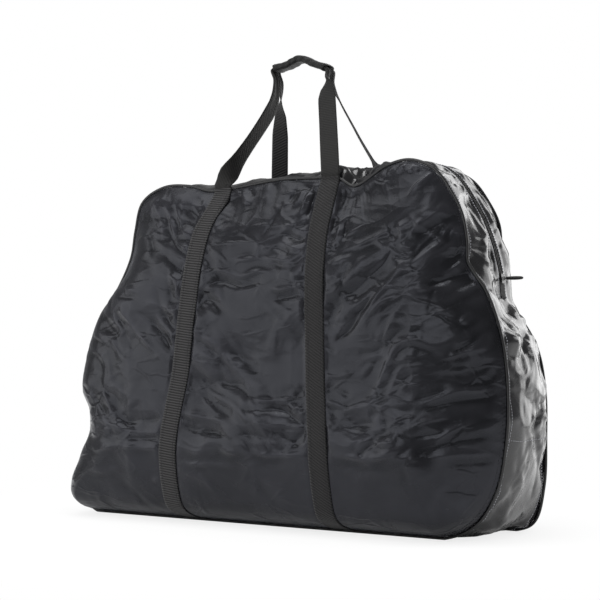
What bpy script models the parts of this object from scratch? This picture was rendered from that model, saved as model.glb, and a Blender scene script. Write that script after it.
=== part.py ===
# A soft bike travel bag that stands on its base, with both carrying handles held up.
# Metres, +Z up. X runs along the bag, the front faces -Y, and the floor is z = 0.

import math

import bmesh
import bpy
import numpy as np

for leftover in list(bpy.data.objects):
    bpy.data.objects.remove(leftover)

# The body of the bag
bag_length = 1.253
bag_height = 0.868
gusset_width = 0.230
dome_depth = 0.126
dome_rise = 0.045
fabric_wall = 0.002
fit_gap = 0.0003
station_step = 0.090

# Sewn trim
piping_radius = 0.0035
binding_width = 0.012
binding_thickness = 0.0016

# Webbing
webbing_width = 0.050
webbing_thickness = 0.002

# Base board
board_length = 0.960
board_width = gusset_width - 0.030
board_thickness = 0.003
board_corner = 0.020
board_corner_turns = (0, 30, 60, 90)

# Zip
zip_arc_radius = 0.476
zip_opening = 0.024
tape_tuck = 0.008
tape_thickness = 0.0008
coil_width = 0.004
coil_height = 0.003
coil_split = 0.003
tab_length = 0.020
tab_thickness = 0.003

# Zip slider and pull
slider_length = 0.022
slider_width = 0.014
blade_thickness = 0.002
lower_blade_width = 0.012
neck_width = 0.002
slider_play = 0.0006
slider_under_play = 0.0014
bail_length = 0.008
bail_height = 0.0055
bail_width = 0.003
bail_bar = 0.0016
pull_length = 0.046
pull_width = 0.010
pull_tip_width = 0.006
pull_thickness = 0.0016
pull_window = 0.0055
pull_play = 0.0006

# Handles and grip
grip_height = 1.135
grip_rise = 0.026
grip_length = 0.160
grip_centre = 0.003
shoulder_drop = 0.030
gathered_width = 0.020
gathered_thickness = 0.005
handle_split = 0.0012
handle_lift = 0.0045
handle_root = 0.009
wrap_width = 0.050
wrap_height = 0.017
wrap_play = 0.0012
wrap_chamfer = 0.006

# The seam of a side panel, seen from the front, from the middle of the base towards +X and round:
# shares of the bag's length from its middle, and shares of its height.
seam_shares = (
    (-0.0118, 0.0000), (0.2273, 0.0000), (0.3637, 0.0000), (0.4257, 0.0400), (0.4654, 0.1280),
    (0.4837, 0.2560), (0.4868, 0.3840), (0.4766, 0.5120), (0.4491, 0.6280), (0.4227, 0.6840),
    (0.4095, 0.7160), (0.4084, 0.7670), (0.3993, 0.8367), (0.3765, 0.9011), (0.3417, 0.9626),
    (0.2955, 0.9885), (0.2477, 0.9776), (0.1775, 0.9276), (0.1408, 0.9523), (0.0838, 0.9575),
    (0.0126, 0.9595), (-0.0993, 0.9442), (-0.1567, 0.9403), (-0.2081, 0.9583), (-0.2746, 0.9592),
    (-0.3274, 0.9185), (-0.3447, 0.8384), (-0.3557, 0.7587), (-0.3950, 0.6560), (-0.4385, 0.5810),
    (-0.4674, 0.4770), (-0.4758, 0.3720), (-0.4482, 0.2580), (-0.4710, 0.1800), (-0.4875, 0.1070),
    (-0.4773, 0.0370), (-0.4465, 0.0000), (-0.3466, 0.0000), (-0.1716, 0.0000),
)  # fmt: skip

# How far the back seam's points lie from the front seam's: the tall lobe hangs lower at the back,
# and the corner of the base is squarer there
back_seam_moves = {
    2: (0.0559, 0.0000), 3: (0.0287, -0.0161), 4: (0.0080, -0.0092), 5: (-0.0064, 0.0000),
    6: (-0.0112, 0.0000), 7: (-0.0176, -0.0173), 8: (-0.0319, -0.0392), 9: (-0.0351, -0.0484),
    10: (-0.0223, -0.0461), 11: (-0.0215, -0.0230), 12: (-0.0152, -0.0092),
    13: (-0.0160, -0.0046), 14: (-0.0128, -0.0092), 15: (-0.0080, -0.0069),
}  # fmt: skip

# The middle line of the gusset, point for point beside the seam. The stretch of the zip that the
# slider runs on is an arc, so its points come from the arc and are left out here.
crown_shares_right = (
    (-0.0118, 0.0000), (0.2273, 0.0000), (0.3799, 0.0000), (0.4420, 0.0300), (0.4766, 0.1250),
    (0.4970, 0.2560), (0.4990, 0.3840), (0.4848, 0.5000), (0.4552, 0.5810),
)  # fmt: skip
crown_shares_left = (
    (0.3108, 0.9900), (0.2517, 0.9996), (0.1775, 0.9906), (0.1408, 0.9886), (0.0838, 0.9877),
    (0.0126, 0.9847), (-0.0993, 0.9719), (-0.1567, 0.9692), (-0.2081, 0.9722), (-0.2746, 0.9670),
    (-0.3376, 0.9243), (-0.3569, 0.8402), (-0.3689, 0.7575), (-0.4072, 0.6650), (-0.4507, 0.5910),
    (-0.4806, 0.4790), (-0.4900, 0.3720), (-0.4686, 0.2620), (-0.4833, 0.1800), (-0.5003, 0.1070),
    (-0.4854, 0.0320), (-0.4465, 0.0000), (-0.3466, 0.0000), (-0.1716, 0.0000),
)  # fmt: skip
zip_arc_centre_shares = (0.0592, 0.596)
zip_arc_degrees = (3.0, 10.0, 17.0, 25.0, 33.0, 41.0)
zip_rest_degrees = 8.5

# Where the gusset's pieces meet, as places in the list of seam points
first_zip_point = 9
last_zip_point = 28
right_cross_seam = 5
left_cross_seam = 32

# The gusset across its width, from the middle to the seam: how far it stands up to its crown
crown_plateau_share = 0.40
crown_edge_share = 0.89
crown_slope_share = 0.66

# The dome of a side panel: its depth and its rise from the seam at each height, its taper towards
# the right end by shares of the length, and the rings it is built on
dome_depth_shares = (
    (0.00, 0.74), (0.07, 0.90), (0.14, 1.02), (0.20, 1.04), (0.30, 0.97), (0.42, 0.83), (0.60, 0.73),
    (0.70, 0.66), (0.82, 0.47), (0.90, 0.31), (1.00, 0.18),
)  # fmt: skip
dome_rise_shares = ((0.00, 0.35), (0.06, 0.40), (0.16, 1.00))
dome_taper_shares = ((0.33, 1.00), (0.37, 0.94), (0.41, 0.83), (0.45, 0.72), (0.49, 0.66))
ring_distances = (0.0, 0.012, 0.038, 0.090)
inner_ring_share = 0.55
spine_height_share = 0.42
spine_half_share = 0.30
spine_nodes = 7

# How far a strap's middle lies from the straps' common middle, at each share of the height, and how
# far it leans to +X there on the front (-1) and the back (1)
strap_centre_share = -0.0118
strap_place_shares = (
    (-0.10, 0.1740), (0.15, 0.1740), (0.25, 0.1710), (0.42, 0.1547), (0.60, 0.1465),
    (0.82, 0.1369), (0.97, 0.1262), (1.10, 0.1201),
)  # fmt: skip
strap_lean_shares = {-1: ((0.80, 0.0), (1.00, 0.0132)), 1: ((0.00, 0.0), (1.00, 0.0200))}

# The bow of the grip: places along its length, and how far each lies over its own height
grip_shares = ((-0.50, -0.32), (-0.25, 0.05), (0.00, 0.50), (0.25, -0.15), (0.50, -0.85))

# Points in a leg of a handle, and samples of its path from each point to the next
leg_points = 4
samples_per_span = 4

# The legs by hand and side: how far the shoulder lies outside the grip's end, and where the leg's
# bend is, as its share of the way up and its distance to +X from the straight way
shoulder_spreads = {(-1, -1): -0.014, (1, -1): 0.004, (-1, 1): 0.000, (1, 1): -0.006}
leg_bends = {
    (-1, -1): (0.77, 0.029), (1, -1): (0.50, 0.000), (-1, 1): (0.50, 0.000), (1, 1): (0.50, -0.002),
}  # fmt: skip

# The front (-1) and back (1) handle along their length: the share of a half turn that the webbing
# has made, and how far it is folded
handle_turn_shares = {
    -1: (
        (0.00, 0.00, 0.0), (0.02, 0.00, 0.0), (0.06, 0.30, 0.0), (0.10, 0.44, 0.0), (0.16, 0.48, 0.0),
        (0.27, 0.49, 0.0), (0.33, 0.50, 0.6), (0.37, 0.50, 1.0), (0.64, 0.50, 1.0), (0.66, 0.60, 0.8),
        (0.68, 0.86, 0.2), (0.72, 0.98, 0.0), (1.00, 1.00, 0.0),
    ),
    1: (
        (0.00, 0.00, 0.0), (0.20, 0.03, 0.0), (0.27, 0.14, 0.05), (0.32, 0.34, 0.4), (0.36, 0.47, 0.85),
        (0.38, 0.50, 1.0), (0.64, 0.50, 1.0), (0.67, 0.44, 0.8), (0.72, 0.33, 0.25), (0.80, 0.32, 0.05),
        (0.92, 0.30, 0.0), (0.975, 0.08, 0.0), (1.00, 0.00, 0.0),
    ),
}  # fmt: skip

# Heights that follow from the sizes above: the seam over its piping, the crown over its webbing,
# and the top of the slider's bail over the crown
half_gusset = gusset_width / 2
seam_lift = 2 * piping_radius + fit_gap
crown_lift = webbing_thickness + fit_gap
bail_top = coil_height - fabric_wall + slider_play + blade_thickness + bail_height


def principled(name, colour, roughness, metallic=0.0):
    """A plain material with the piece's colour, roughness and metallic value."""
    material = bpy.data.materials.new(name)
    material.use_nodes = True
    shader = material.node_tree.nodes["Principled BSDF"]
    shader.inputs["Base Color"].default_value = (*colour, 1.0)
    shader.inputs["Roughness"].default_value = roughness
    shader.inputs["Metallic"].default_value = metallic
    return material


panel_nylon = principled("panel_nylon", (0.018, 0.019, 0.024), 0.42)
coated_nylon = principled("coated_nylon", (0.016, 0.016, 0.018), 0.16)
piping_vinyl = principled("piping_vinyl", (0.020, 0.020, 0.021), 0.35)
binding_tape = principled("binding_tape", (0.014, 0.014, 0.014), 0.80)
black_webbing = principled("black_webbing", (0.012, 0.012, 0.011), 0.70)
zip_fabric = principled("zip_fabric", (0.011, 0.011, 0.012), 0.75)
coil_nylon = principled("coil_nylon", (0.010, 0.010, 0.011), 0.40)
slider_enamel = principled("slider_enamel", (0.010, 0.010, 0.010), 0.35, 0.6)
base_board = principled("base_board", (0.030, 0.030, 0.032), 0.50)


def centripetal(p0, p1, p2, p3, fractions):
    """Points of a centripetal spline at the given fractions of the way from p1 to p2."""
    knots = [0.0]
    for start, stop in ((p0, p1), (p1, p2), (p2, p3)):
        knots.append(knots[-1] + math.sqrt(np.linalg.norm(stop - start)))
    t0, t1, t2, t3 = knots
    t = (t1 + (t2 - t1) * np.asarray(fractions))[:, None]
    a1 = (t1 - t) / (t1 - t0) * p0 + (t - t0) / (t1 - t0) * p1
    a2 = (t2 - t) / (t2 - t1) * p1 + (t - t1) / (t2 - t1) * p2
    a3 = (t3 - t) / (t3 - t2) * p2 + (t - t2) / (t3 - t2) * p3
    b1 = (t2 - t) / (t2 - t0) * a1 + (t - t0) / (t2 - t0) * a2
    b2 = (t3 - t) / (t3 - t1) * a2 + (t - t1) / (t3 - t1) * a3
    return (t2 - t) / (t2 - t1) * b1 + (t - t1) / (t2 - t1) * b2


def closed_spline(points, counts):
    """A closed smooth line with counts[k] samples after point k, the point itself included."""
    samples = []
    for k, count in enumerate(counts):
        around = [points[(k + step) % len(points)] for step in (-1, 0, 1, 2)]
        samples.append(centripetal(*around, np.arange(count) / count))
    return np.vstack(samples)


def open_spline(points, count):
    """A smooth line through the points, with count samples in each span and the last point."""
    points = [np.asarray(p, float) for p in points]
    padded = [2 * points[0] - points[1], *points, 2 * points[-1] - points[-2]]
    samples = [
        centripetal(*padded[k : k + 4], np.arange(count) / count)
        for k in range(len(points) - 1)
    ]
    return np.vstack([*samples, points[-1][None]])


def outward(line):
    """Unit normals of a closed line that runs counterclockwise, seen from the front."""
    along = np.roll(line, -1, axis=0) - np.roll(line, 1, axis=0)
    along /= np.linalg.norm(along, axis=1)[:, None]
    return np.column_stack([along[:, 1], -along[:, 0]])


def arc_point(degrees, height=0.0):
    """A point of the slider's arc, at a height above the crown of the gusset."""
    radius = zip_arc_radius + height
    return np.array(
        [
            arc_centre[0] + radius * math.cos(math.radians(degrees)),
            arc_centre[1] + radius * math.sin(math.radians(degrees)),
        ]
    )


def placed(shares, base):
    """Outline points in metres, from shares of the length and of the height above a base line."""
    return [
        np.array([along * bag_length, base + up * (bag_height - base)])
        for along, up in shares
    ]


arc_centre = placed([zip_arc_centre_shares], crown_lift)[0]
seam_points = placed(seam_shares, seam_lift)
back_seam_shares = [np.add(point, back_seam_moves.get(k, 0.0)) for k, point in enumerate(seam_shares)]
back_seam_points = placed(back_seam_shares, seam_lift)
crown_points = (
    placed(crown_shares_right, crown_lift)
    + [arc_point(degrees) for degrees in zip_arc_degrees]
    + placed(crown_shares_left, crown_lift)
)
spans = [
    max(np.linalg.norm(line[(k + 1) % len(line)] - line[k]) for line in (seam_points, crown_points))
    for k in range(len(seam_points))
]
on_arc = range(first_zip_point, first_zip_point + len(zip_arc_degrees) - 1)
span_counts = [
    max(math.ceil(span / station_step), 2 if k in on_arc else 1) for k, span in enumerate(spans)
]
seam_lines = {
    -1: closed_spline(seam_points, span_counts),
    1: closed_spline(back_seam_points, span_counts),
}
for seam_line in seam_lines.values():
    seam_line[:, 1] = np.maximum(seam_line[:, 1], seam_lift)
seam_normals = {side: outward(seam_line) for side, seam_line in seam_lines.items()}
crown_line = closed_spline(crown_points, span_counts)
crown_line[:, 1] = np.maximum(crown_line[:, 1], crown_lift)
station_count = len(crown_line)


def station(point):
    """The station at a seam point."""
    return sum(span_counts[:point])


for k, start_degrees, stop_degrees in zip(on_arc, zip_arc_degrees, zip_arc_degrees[1:]):
    for step in range(span_counts[k]):
        turned = start_degrees + (stop_degrees - start_degrees) * step / span_counts[k]
        crown_line[station(k) + step] = arc_point(turned)


def crown_rise(y):
    """How far the gusset stands from the seam line to its crown line, at a place across it."""
    share = abs(y) / half_gusset
    slope = (share - crown_plateau_share) / (crown_edge_share - crown_plateau_share)
    return 1 - min(max(slope, 0.0), 1.0) ** 2


def gusset_line(y, offset=0.0):
    """The gusset's outer line at a place across it, moved outwards by an offset."""
    seam_line = seam_lines[1 if y > 0 else -1]
    line = seam_line + (crown_line - seam_line) * crown_rise(y)
    return line + outward(line) * offset


hinge_places = {}


def hinge(name, place, carrier=None):
    """An empty on a joint's axis, which carries what turns there."""
    empty = bpy.data.objects.new(name, None)
    bpy.context.collection.objects.link(empty)
    hinge_places[name] = np.array(place, float)
    empty.location = hinge_places[name]
    if carrier:
        empty.parent = carrier
        empty.location = hinge_places[name] - hinge_places[carrier.name]
    return empty


def mesh_object(name, vertices, faces, material, pivot=None):
    """One closed body with its faces pointing out, with its origin on its hinge if it has one."""
    origin = hinge_places[pivot.name] if pivot else np.zeros(3)
    shape = bmesh.new()
    corners = [shape.verts.new(np.subtract(v, origin)) for v in vertices]
    for face in faces:
        shape.faces.new([corners[i] for i in face])
    bmesh.ops.recalc_face_normals(shape, faces=shape.faces)
    mesh = bpy.data.meshes.new(name)
    shape.to_mesh(mesh)
    shape.free()
    body = bpy.data.objects.new(name, mesh)
    bpy.context.collection.objects.link(body)
    mesh.materials.append(material)
    body.parent = pivot
    return body


def band_faces(rows, columns, closed_rows, closed_columns, start=0, mirrored=False):
    """Triangles over a grid of points. If mirrored, its second half is cut along the other diagonal."""
    faces = []
    for i in range(rows if closed_rows else rows - 1):
        for j in range(columns if closed_columns else columns - 1):
            down, right = (i + 1) % rows, (j + 1) % columns
            a, b = start + i * columns + j, start + i * columns + right
            c, d = start + down * columns + right, start + down * columns + j
            if mirrored and 2 * j >= columns:
                faces += [(a, b, d), (b, c, d)]
            else:
                faces += [(a, b, c), (a, c, d)]
    return faces


def cap_faces(columns, start):
    """Triangles that close one loop, from its first and last points to its middle ones."""
    faces = []
    for j in range(columns // 2 - 1):
        a, b, c, d = j, j + 1, columns - 2 - j, columns - 1 - j
        faces += [(start + a, start + b, start + c), (start + a, start + c, start + d)]
    return faces


def swept(name, loops, closed, material, pivot=None):
    """A body swept through loops of points, closed round or with a cap at each end.

    A loop's second half lies opposite its first, so both are cut alike and a twisted strip keeps
    its thickness.
    """
    loops = np.asarray(loops)
    rows, columns = loops.shape[:2]
    faces = band_faces(rows, columns, closed, True, mirrored=True)
    if not closed:
        faces += cap_faces(columns, 0) + cap_faces(columns, (rows - 1) * columns)
    return mesh_object(name, loops.reshape(-1, 3), faces, material, pivot)


def standing(line, y):
    """A line of the front view as points in space, at a place across the bag."""
    return np.column_stack([line[:, 0], np.full(len(line), y), line[:, 1]])


def drawn_in(end, inside, distance):
    """An end loop moved towards the loop inside it."""
    step = inside - end
    return end + step / np.linalg.norm(step, axis=1)[:, None] * distance


def gusset_loops(stations, across, outer, inner):
    """Loops of a strip that follows the gusset: its places across, and its faces as offsets."""
    columns = [standing(gusset_line(y, outer), y) for y in across]
    columns += [standing(gusset_line(y, inner), y) for y in across[::-1]]
    return np.stack(columns, axis=1)[stations]


def gusset_strip(name, stations, across, outer, inner, material, setback=fit_gap):
    """A strip of the gusset, with each end drawn in by a setback."""
    loops = gusset_loops(stations, across, outer, inner)
    first, last = drawn_in(loops[0], loops[1], setback), drawn_in(loops[-1], loops[-2], setback)
    return swept(name, np.stack([first, *loops[1:-1], last]), False, material)


def station_range(first_point, last_point):
    """All stations from one seam point to another, counterclockwise."""
    first, last = station(first_point), station(last_point)
    if last < first:
        last += station_count
    return np.arange(first, last + 1) % station_count


def make_gussets():
    """The five pieces of the gusset: base, two ends, and the two halves beside the zip."""
    slope = crown_slope_share * half_gusset
    edge = crown_edge_share * half_gusset
    plateau = crown_plateau_share * half_gusset
    tape_edge = zip_opening / 2 + tape_tuck
    seam = half_gusset - fit_gap
    half = (seam, edge, slope, plateau)
    full = (*(-y for y in half), *half[::-1])
    ends = {
        "bottom_gusset": (left_cross_seam, right_cross_seam),
        "right_side_gusset": (right_cross_seam, first_zip_point),
        "left_side_gusset": (last_zip_point, left_cross_seam),
    }
    for name, (first, last) in ends.items():
        stations = station_range(first, last)
        gusset_strip(name, stations, full, 0.0, -fabric_wall, coated_nylon)
    beside_zip = (*half, tape_edge, zip_opening / 2)
    stations = station_range(first_zip_point, last_zip_point)
    for name, side in (("top_gusset_front", -1), ("top_gusset_back", 1)):
        across = tuple(side * y for y in beside_zip)
        gusset_strip(name, stations, across, 0.0, -fabric_wall, coated_nylon)


def make_bindings():
    """Folded tape over the raw edges of the two seams, inside the bag."""
    for name, side in (("front_seam_binding", -1), ("back_seam_binding", 1)):
        outer = seam_lines[side] - seam_normals[side] * (fabric_wall + fit_gap)
        inner = outer - seam_normals[side] * binding_thickness
        near, far = side * (half_gusset - fit_gap), side * (half_gusset - binding_width)
        corners = ((outer, near), (outer, far), (inner, far), (inner, near))
        loops = np.stack([standing(line, y) for line, y in corners], axis=1)
        swept(name, loops, True, binding_tape)


def make_piping():
    """Corded piping, a round welt outside each seam."""
    for name, side in (("front_piping", -1), ("back_piping", 1)):
        line = seam_lines[side] + seam_normals[side] * (piping_radius + fit_gap)
        curve = bpy.data.curves.new(name, "CURVE")
        curve.dimensions = "3D"
        curve.bevel_depth = piping_radius
        curve.bevel_resolution = 1
        spline = curve.splines.new("POLY")
        spline.points.add(len(line) - 1)
        spline.use_cyclic_u = True
        for point, (x, z) in zip(spline.points, line, strict=True):
            point.co = (x, side * half_gusset, z, 1.0)
        curve.materials.append(piping_vinyl)
        bpy.context.collection.objects.link(bpy.data.objects.new(name, curve))


def read_table(place, table):
    """A value between the rows of a table of places and values."""
    places, values = zip(*table, strict=True)
    return np.interp(place, places, values)


def dome(x, z, distance):
    """How far a side panel stands out from its seam plane."""
    up = z / bag_height
    share = read_table(up, dome_depth_shares) * read_table(x / bag_length, dome_taper_shares)
    rise = dome_rise * read_table(up, dome_rise_shares)
    return dome_depth * share * (1 - np.exp(-distance / rise))


def panel_surface(side):
    """The outer face of a side panel: rings in from the seam, then the nodes of a spine."""
    seam_line = seam_lines[side]
    spine_x = np.linspace(-spine_half_share, spine_half_share, spine_nodes) * bag_length
    spine_z = spine_height_share * bag_height
    step = spine_x[1] - spine_x[0]
    nearest = np.clip(np.round((seam_line[:, 0] - spine_x[0]) / step), 0, spine_nodes - 1).astype(int)
    target = np.column_stack([spine_x[nearest], np.full(station_count, spine_z)])
    reach = np.linalg.norm(target - seam_line, axis=1)
    heading = (target - seam_line) / reach[:, None]
    distances = [np.full(station_count, d) for d in ring_distances] + [reach * inner_ring_share]
    rings = []
    for distance in distances:
        flat = seam_line + heading * distance[:, None]
        depth = dome(flat[:, 0], flat[:, 1], distance)
        rings.append(np.column_stack([flat[:, 0], side * (half_gusset + depth), flat[:, 1]]))
    deepest = dome(spine_x, np.full(spine_nodes, spine_z), np.full(spine_nodes, reach.min()))
    spine_y = side * (half_gusset + deepest)
    spine = np.column_stack([spine_x, spine_y, np.full(spine_nodes, spine_z)])
    vertices = np.vstack([*rings, spine])
    faces = band_faces(len(rings), station_count, False, True)
    last, hub = (len(rings) - 1) * station_count, len(rings) * station_count
    for j in range(station_count):
        k = (j + 1) % station_count
        faces.append((last + j, last + k, hub + nearest[k]))
        if nearest[j] != nearest[k]:
            faces.append((last + j, hub + nearest[k], hub + nearest[j]))
    return vertices, faces


def surface_normals(vertices, faces):
    """Unit normals at the points of a surface, weighted by area."""
    corners = vertices[np.array(faces)]
    crosses = np.cross(corners[:, 1] - corners[:, 0], corners[:, 2] - corners[:, 0])
    normals = np.zeros_like(vertices)
    for column in range(3):
        np.add.at(normals, np.array(faces)[:, column], crosses)
    return normals / np.linalg.norm(normals, axis=1)[:, None]


def panel_shell(side, lift, thickness, rim_inset=None):
    """A closed shell over a panel's face, from a lift down by a thickness."""
    vertices, faces = panel_surface(side)
    normals = surface_normals(vertices, faces)
    if side * normals[:, 1].mean() < 0:
        normals = -normals
    outer = vertices + normals * lift
    inner = vertices + normals * (lift - thickness)
    if rim_inset is not None:
        rim = seam_lines[side] - seam_normals[side] * rim_inset
        outer[:station_count] = vertices[:station_count]
        inner[:station_count] = standing(rim, side * half_gusset)
    both = np.vstack([outer, inner])
    below = len(vertices)
    shell = [tuple(f) for f in faces] + [tuple(i + below for i in f[::-1]) for f in faces]
    for j in range(station_count):
        k = (j + 1) % station_count
        shell += [(j, below + j, below + k), (j, below + k, k)]
    return both, shell


def make_panels():
    """The two domed side panels."""
    for name, side in (("front_panel", -1), ("back_panel", 1)):
        vertices, faces = panel_shell(side, 0.0, fabric_wall, rim_inset=fabric_wall)
        mesh_object(name, vertices, faces, panel_nylon)


def strap_middle(height, hand, side):
    """Where a left (-1) or right (1) strap lies along the bag, on the front (-1) or back (1)."""
    up = height / bag_height
    lean = read_table(up, strap_lean_shares[side])
    return (strap_centre_share + hand * read_table(up, strap_place_shares) + lean) * bag_length


def seam_top(x):
    """The height of the seam's upper side at a place along the bag."""
    first, last = station(first_zip_point + len(zip_arc_degrees) - 1), station(last_zip_point - 2)
    upper = seam_lines[-1][first : last + 1][::-1]
    return float(np.interp(x, upper[:, 0], upper[:, 1]))


def strap_cutter(name, hand, side):
    """The outline of one strap as a tall prism that cuts it from a shell over the panel."""
    heights = [share * bag_height for share, _ in strap_place_shares]
    near = half_gusset + piping_radius + fit_gap
    far = near + 2 * dome_depth
    loops = []
    for height in heights:
        middle = strap_middle(height, hand, side)
        left, right = middle - webbing_width / 2, middle + webbing_width / 2
        corners = [(left, near), (right, near), (right, far), (left, far)]
        loops.append([(x, side * y, height) for x, y in corners])
    cutter = swept(name, np.array(loops), False, black_webbing)
    cutter.hide_render = True
    cutter.display_type = "WIRE"
    return cutter


def make_panel_straps():
    """Webbing sewn on the panels, cut from a shell that lies over the panel."""
    for side, face_name in ((-1, "front"), (1, "back")):
        vertices, faces = panel_shell(side, webbing_thickness + fit_gap, webbing_thickness)
        for hand, hand_name in ((-1, "left"), (1, "right")):
            name = f"{face_name}_{hand_name}_strap"
            strap = mesh_object(name, vertices, faces, black_webbing)
            cut = strap.modifiers.new("cut", "BOOLEAN")
            cut.operation = "INTERSECT"
            cut.solver = "EXACT"
            cut.object = strap_cutter(f"{name}_cutter", hand, side)


def make_bottom_straps():
    """Webbing across the base, between the two seams. The bag rests on it."""
    edge = crown_edge_share * half_gusset
    slope = crown_slope_share * half_gusset
    plateau = crown_plateau_share * half_gusset
    across = (-edge, -slope, -plateau, plateau, slope, edge)
    for hand, name in ((-1, "bottom_left_strap"), (1, "bottom_right_strap")):
        middle = strap_middle(0.0, hand, -1)
        loops = []
        for x in (middle - webbing_width / 2, middle + webbing_width / 2):
            upper = []
            lower = []
            for y in across:
                z = seam_lift + (crown_lift - seam_lift) * crown_rise(y) - fit_gap
                upper.append((x, y, z))
                lower.append((x, y, z - webbing_thickness))
            loops.append(upper + lower[::-1])
        swept(name, np.array(loops), False, black_webbing)


def make_base_stiffener():
    """A thin board with round corners that lies in the base."""
    height = seam_lift + fabric_wall + fit_gap
    middle = (seam_points[2][0] + seam_points[-3][0]) / 2
    outline = []
    for x_side, y_side, start in ((1, 1, 0), (-1, 1, 90), (-1, -1, 180), (1, -1, 270)):
        centre_x = middle + x_side * (board_length / 2 - board_corner)
        centre_y = y_side * (board_width / 2 - board_corner)
        for turn in board_corner_turns:
            angle = math.radians(start + turn)
            outline.append(
                (centre_x + board_corner * math.cos(angle), centre_y + board_corner * math.sin(angle))
            )
    loops = [[(x, y, z) for x, y in outline] for z in (height, height + board_thickness)]
    swept("base_stiffener", np.array(loops), False, base_board)


def make_zip():
    """Two tapes under the edges of the top gusset, a coil on each, and a tab over each end."""
    stations = station_range(first_zip_point, last_zip_point)
    tape_outer = -fabric_wall - fit_gap
    tape_inner = tape_outer - tape_thickness
    coil_inner = tape_outer + fit_gap
    for side, face_name in ((-1, "front"), (1, "back")):
        edge = side * coil_split / 2
        tape = (edge, side * (zip_opening / 2 + tape_tuck))
        coil = (edge, side * (coil_split / 2 + coil_width))
        gusset_strip(f"zip_tape_{face_name}", stations, tape, tape_outer, tape_inner, zip_fabric)
        coil_name = f"zip_coil_{face_name}"
        coil_outer, coil_setback = coil_inner + coil_height, tab_length + 2 * fit_gap
        gusset_strip(coil_name, stations, coil, coil_outer, coil_inner, coil_nylon, coil_setback)
    half_tab = zip_opening / 2 - fit_gap
    loops = gusset_loops(stations, (-half_tab, half_tab), coil_inner + tab_thickness, coil_inner)
    for name, end, inside in (
        ("zip_end_tab_right", loops[0], loops[1]),
        ("zip_end_tab_left", loops[-1], loops[-2]),
    ):
        tab = [drawn_in(end, inside, distance) for distance in (fit_gap, tab_length)]
        swept(name, tab, False, zip_fabric)


def joined(target, other, operation):
    """Adds or cuts one closed shape to or from another, and removes the tool."""
    modifier = target.modifiers.new("join", "BOOLEAN")
    modifier.operation = operation
    modifier.solver = "EXACT"
    modifier.object = other
    evaluated = target.evaluated_get(bpy.context.evaluated_depsgraph_get())
    mesh = bpy.data.meshes.new_from_object(evaluated)
    target.modifiers.clear()
    target.data = mesh
    bpy.data.objects.remove(other)


def slider_frame(degrees):
    """The slider's place on the crown, its outward direction and its direction of travel."""
    angle = math.radians(degrees)
    out = np.array([math.cos(angle), 0.0, math.sin(angle)])
    travel = np.array([-math.sin(angle), 0.0, math.cos(angle)])
    x, z = arc_point(degrees)
    return np.array([x, 0.0, z]), out, travel


def slider_block(name, heights, half_width, lengths, pivot=None):
    """A block on the slider's place: its span out from the crown, its half width, its span along."""
    seat, out, travel = slider_frame(zip_rest_degrees)
    across = np.array([0.0, half_width, 0.0])
    low, high = heights
    section = (out * low - across, out * high - across, out * high + across, out * low + across)
    loops = [[seat + corner + travel * length for corner in section] for length in lengths]
    return swept(name, loops, False, slider_enamel, pivot)


def make_slider():
    """The zip slider: two blades joined by a neck between the coils, with a bail on top."""
    pivot = hinge("zip_slider_hinge", (arc_centre[0], 0.0, arc_centre[1]))
    top = -fabric_wall + coil_height + slider_play
    under = -fabric_wall - fit_gap - tape_thickness - slider_under_play
    half_length, half_blade = slider_length / 2, blade_thickness / 2
    along = (-half_length, half_length)
    ahead = (0.0, half_length - neck_width)
    bail_along = (-bail_length / 2, bail_length / 2)
    window_along = (bail_bar - bail_length / 2, bail_length / 2 - bail_bar)
    upper = (top, top + blade_thickness)
    lower = (under - blade_thickness, under)
    slider = slider_block("zip_slider", upper, slider_width / 2, along, pivot)
    bail = slider_block("bail", (top + half_blade, bail_top), bail_width / 2, bail_along)
    window = slider_block("window", (top, bail_top - bail_bar), bail_width, window_along)
    joined(bail, window, "DIFFERENCE")
    joined(slider, bail, "UNION")
    joined(slider, slider_block("lower", lower, lower_blade_width / 2, along), "UNION")
    neck = slider_block("neck", (under - half_blade, top + half_blade), neck_width / 2, ahead)
    joined(slider, neck, "UNION")
    return pivot


def make_pull(slider_hinge):
    """The zip pull: a tapered tab whose end bar lies in the slider's bail."""
    seat, out, _ = slider_frame(zip_rest_degrees)
    bar = pull_thickness / 2
    place = seat + out * (bail_top - bail_bar - pull_play - bar)
    pivot = hinge("zip_pull_hinge", place, slider_hinge)

    def slab(name, near, far, near_half, far_half, rise, on_pivot=None):
        loops = [
            [
                place + np.array([distance, half * y, rise * z])
                for y, z in ((-1, -1), (1, -1), (1, 1), (-1, 1))
            ]
            for distance, half in ((near, near_half), (far, far_half))
        ]
        return swept(name, loops, False, slider_enamel, on_pivot)

    pull = slab("zip_pull", -bar, pull_length, pull_width / 2, pull_tip_width / 2, bar, pivot)
    eye_half = bail_width / 2 + pull_play
    eye = slab("eye", bar, bar + pull_window, eye_half, eye_half, pull_thickness)
    joined(pull, eye, "DIFFERENCE")


def handle_base(hand, side):
    """Where a handle leaves its strap, just above the piping at the top of the panel."""
    x = strap_middle(bag_height, hand, side)
    y = half_gusset + piping_radius + fit_gap + webbing_thickness / 2
    highest = max(seam_top(x - webbing_width / 2), seam_top(x), seam_top(x + webbing_width / 2))
    return np.array([x, side * y, highest + handle_lift])


def grip_line(y):
    """The grip's middle line at a place across it, from its left shoulder to its right one."""
    return [
        np.array([grip_centre + grip_length * along, y, grip_height + grip_rise * up])
        for along, up in grip_shares
    ]


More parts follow.
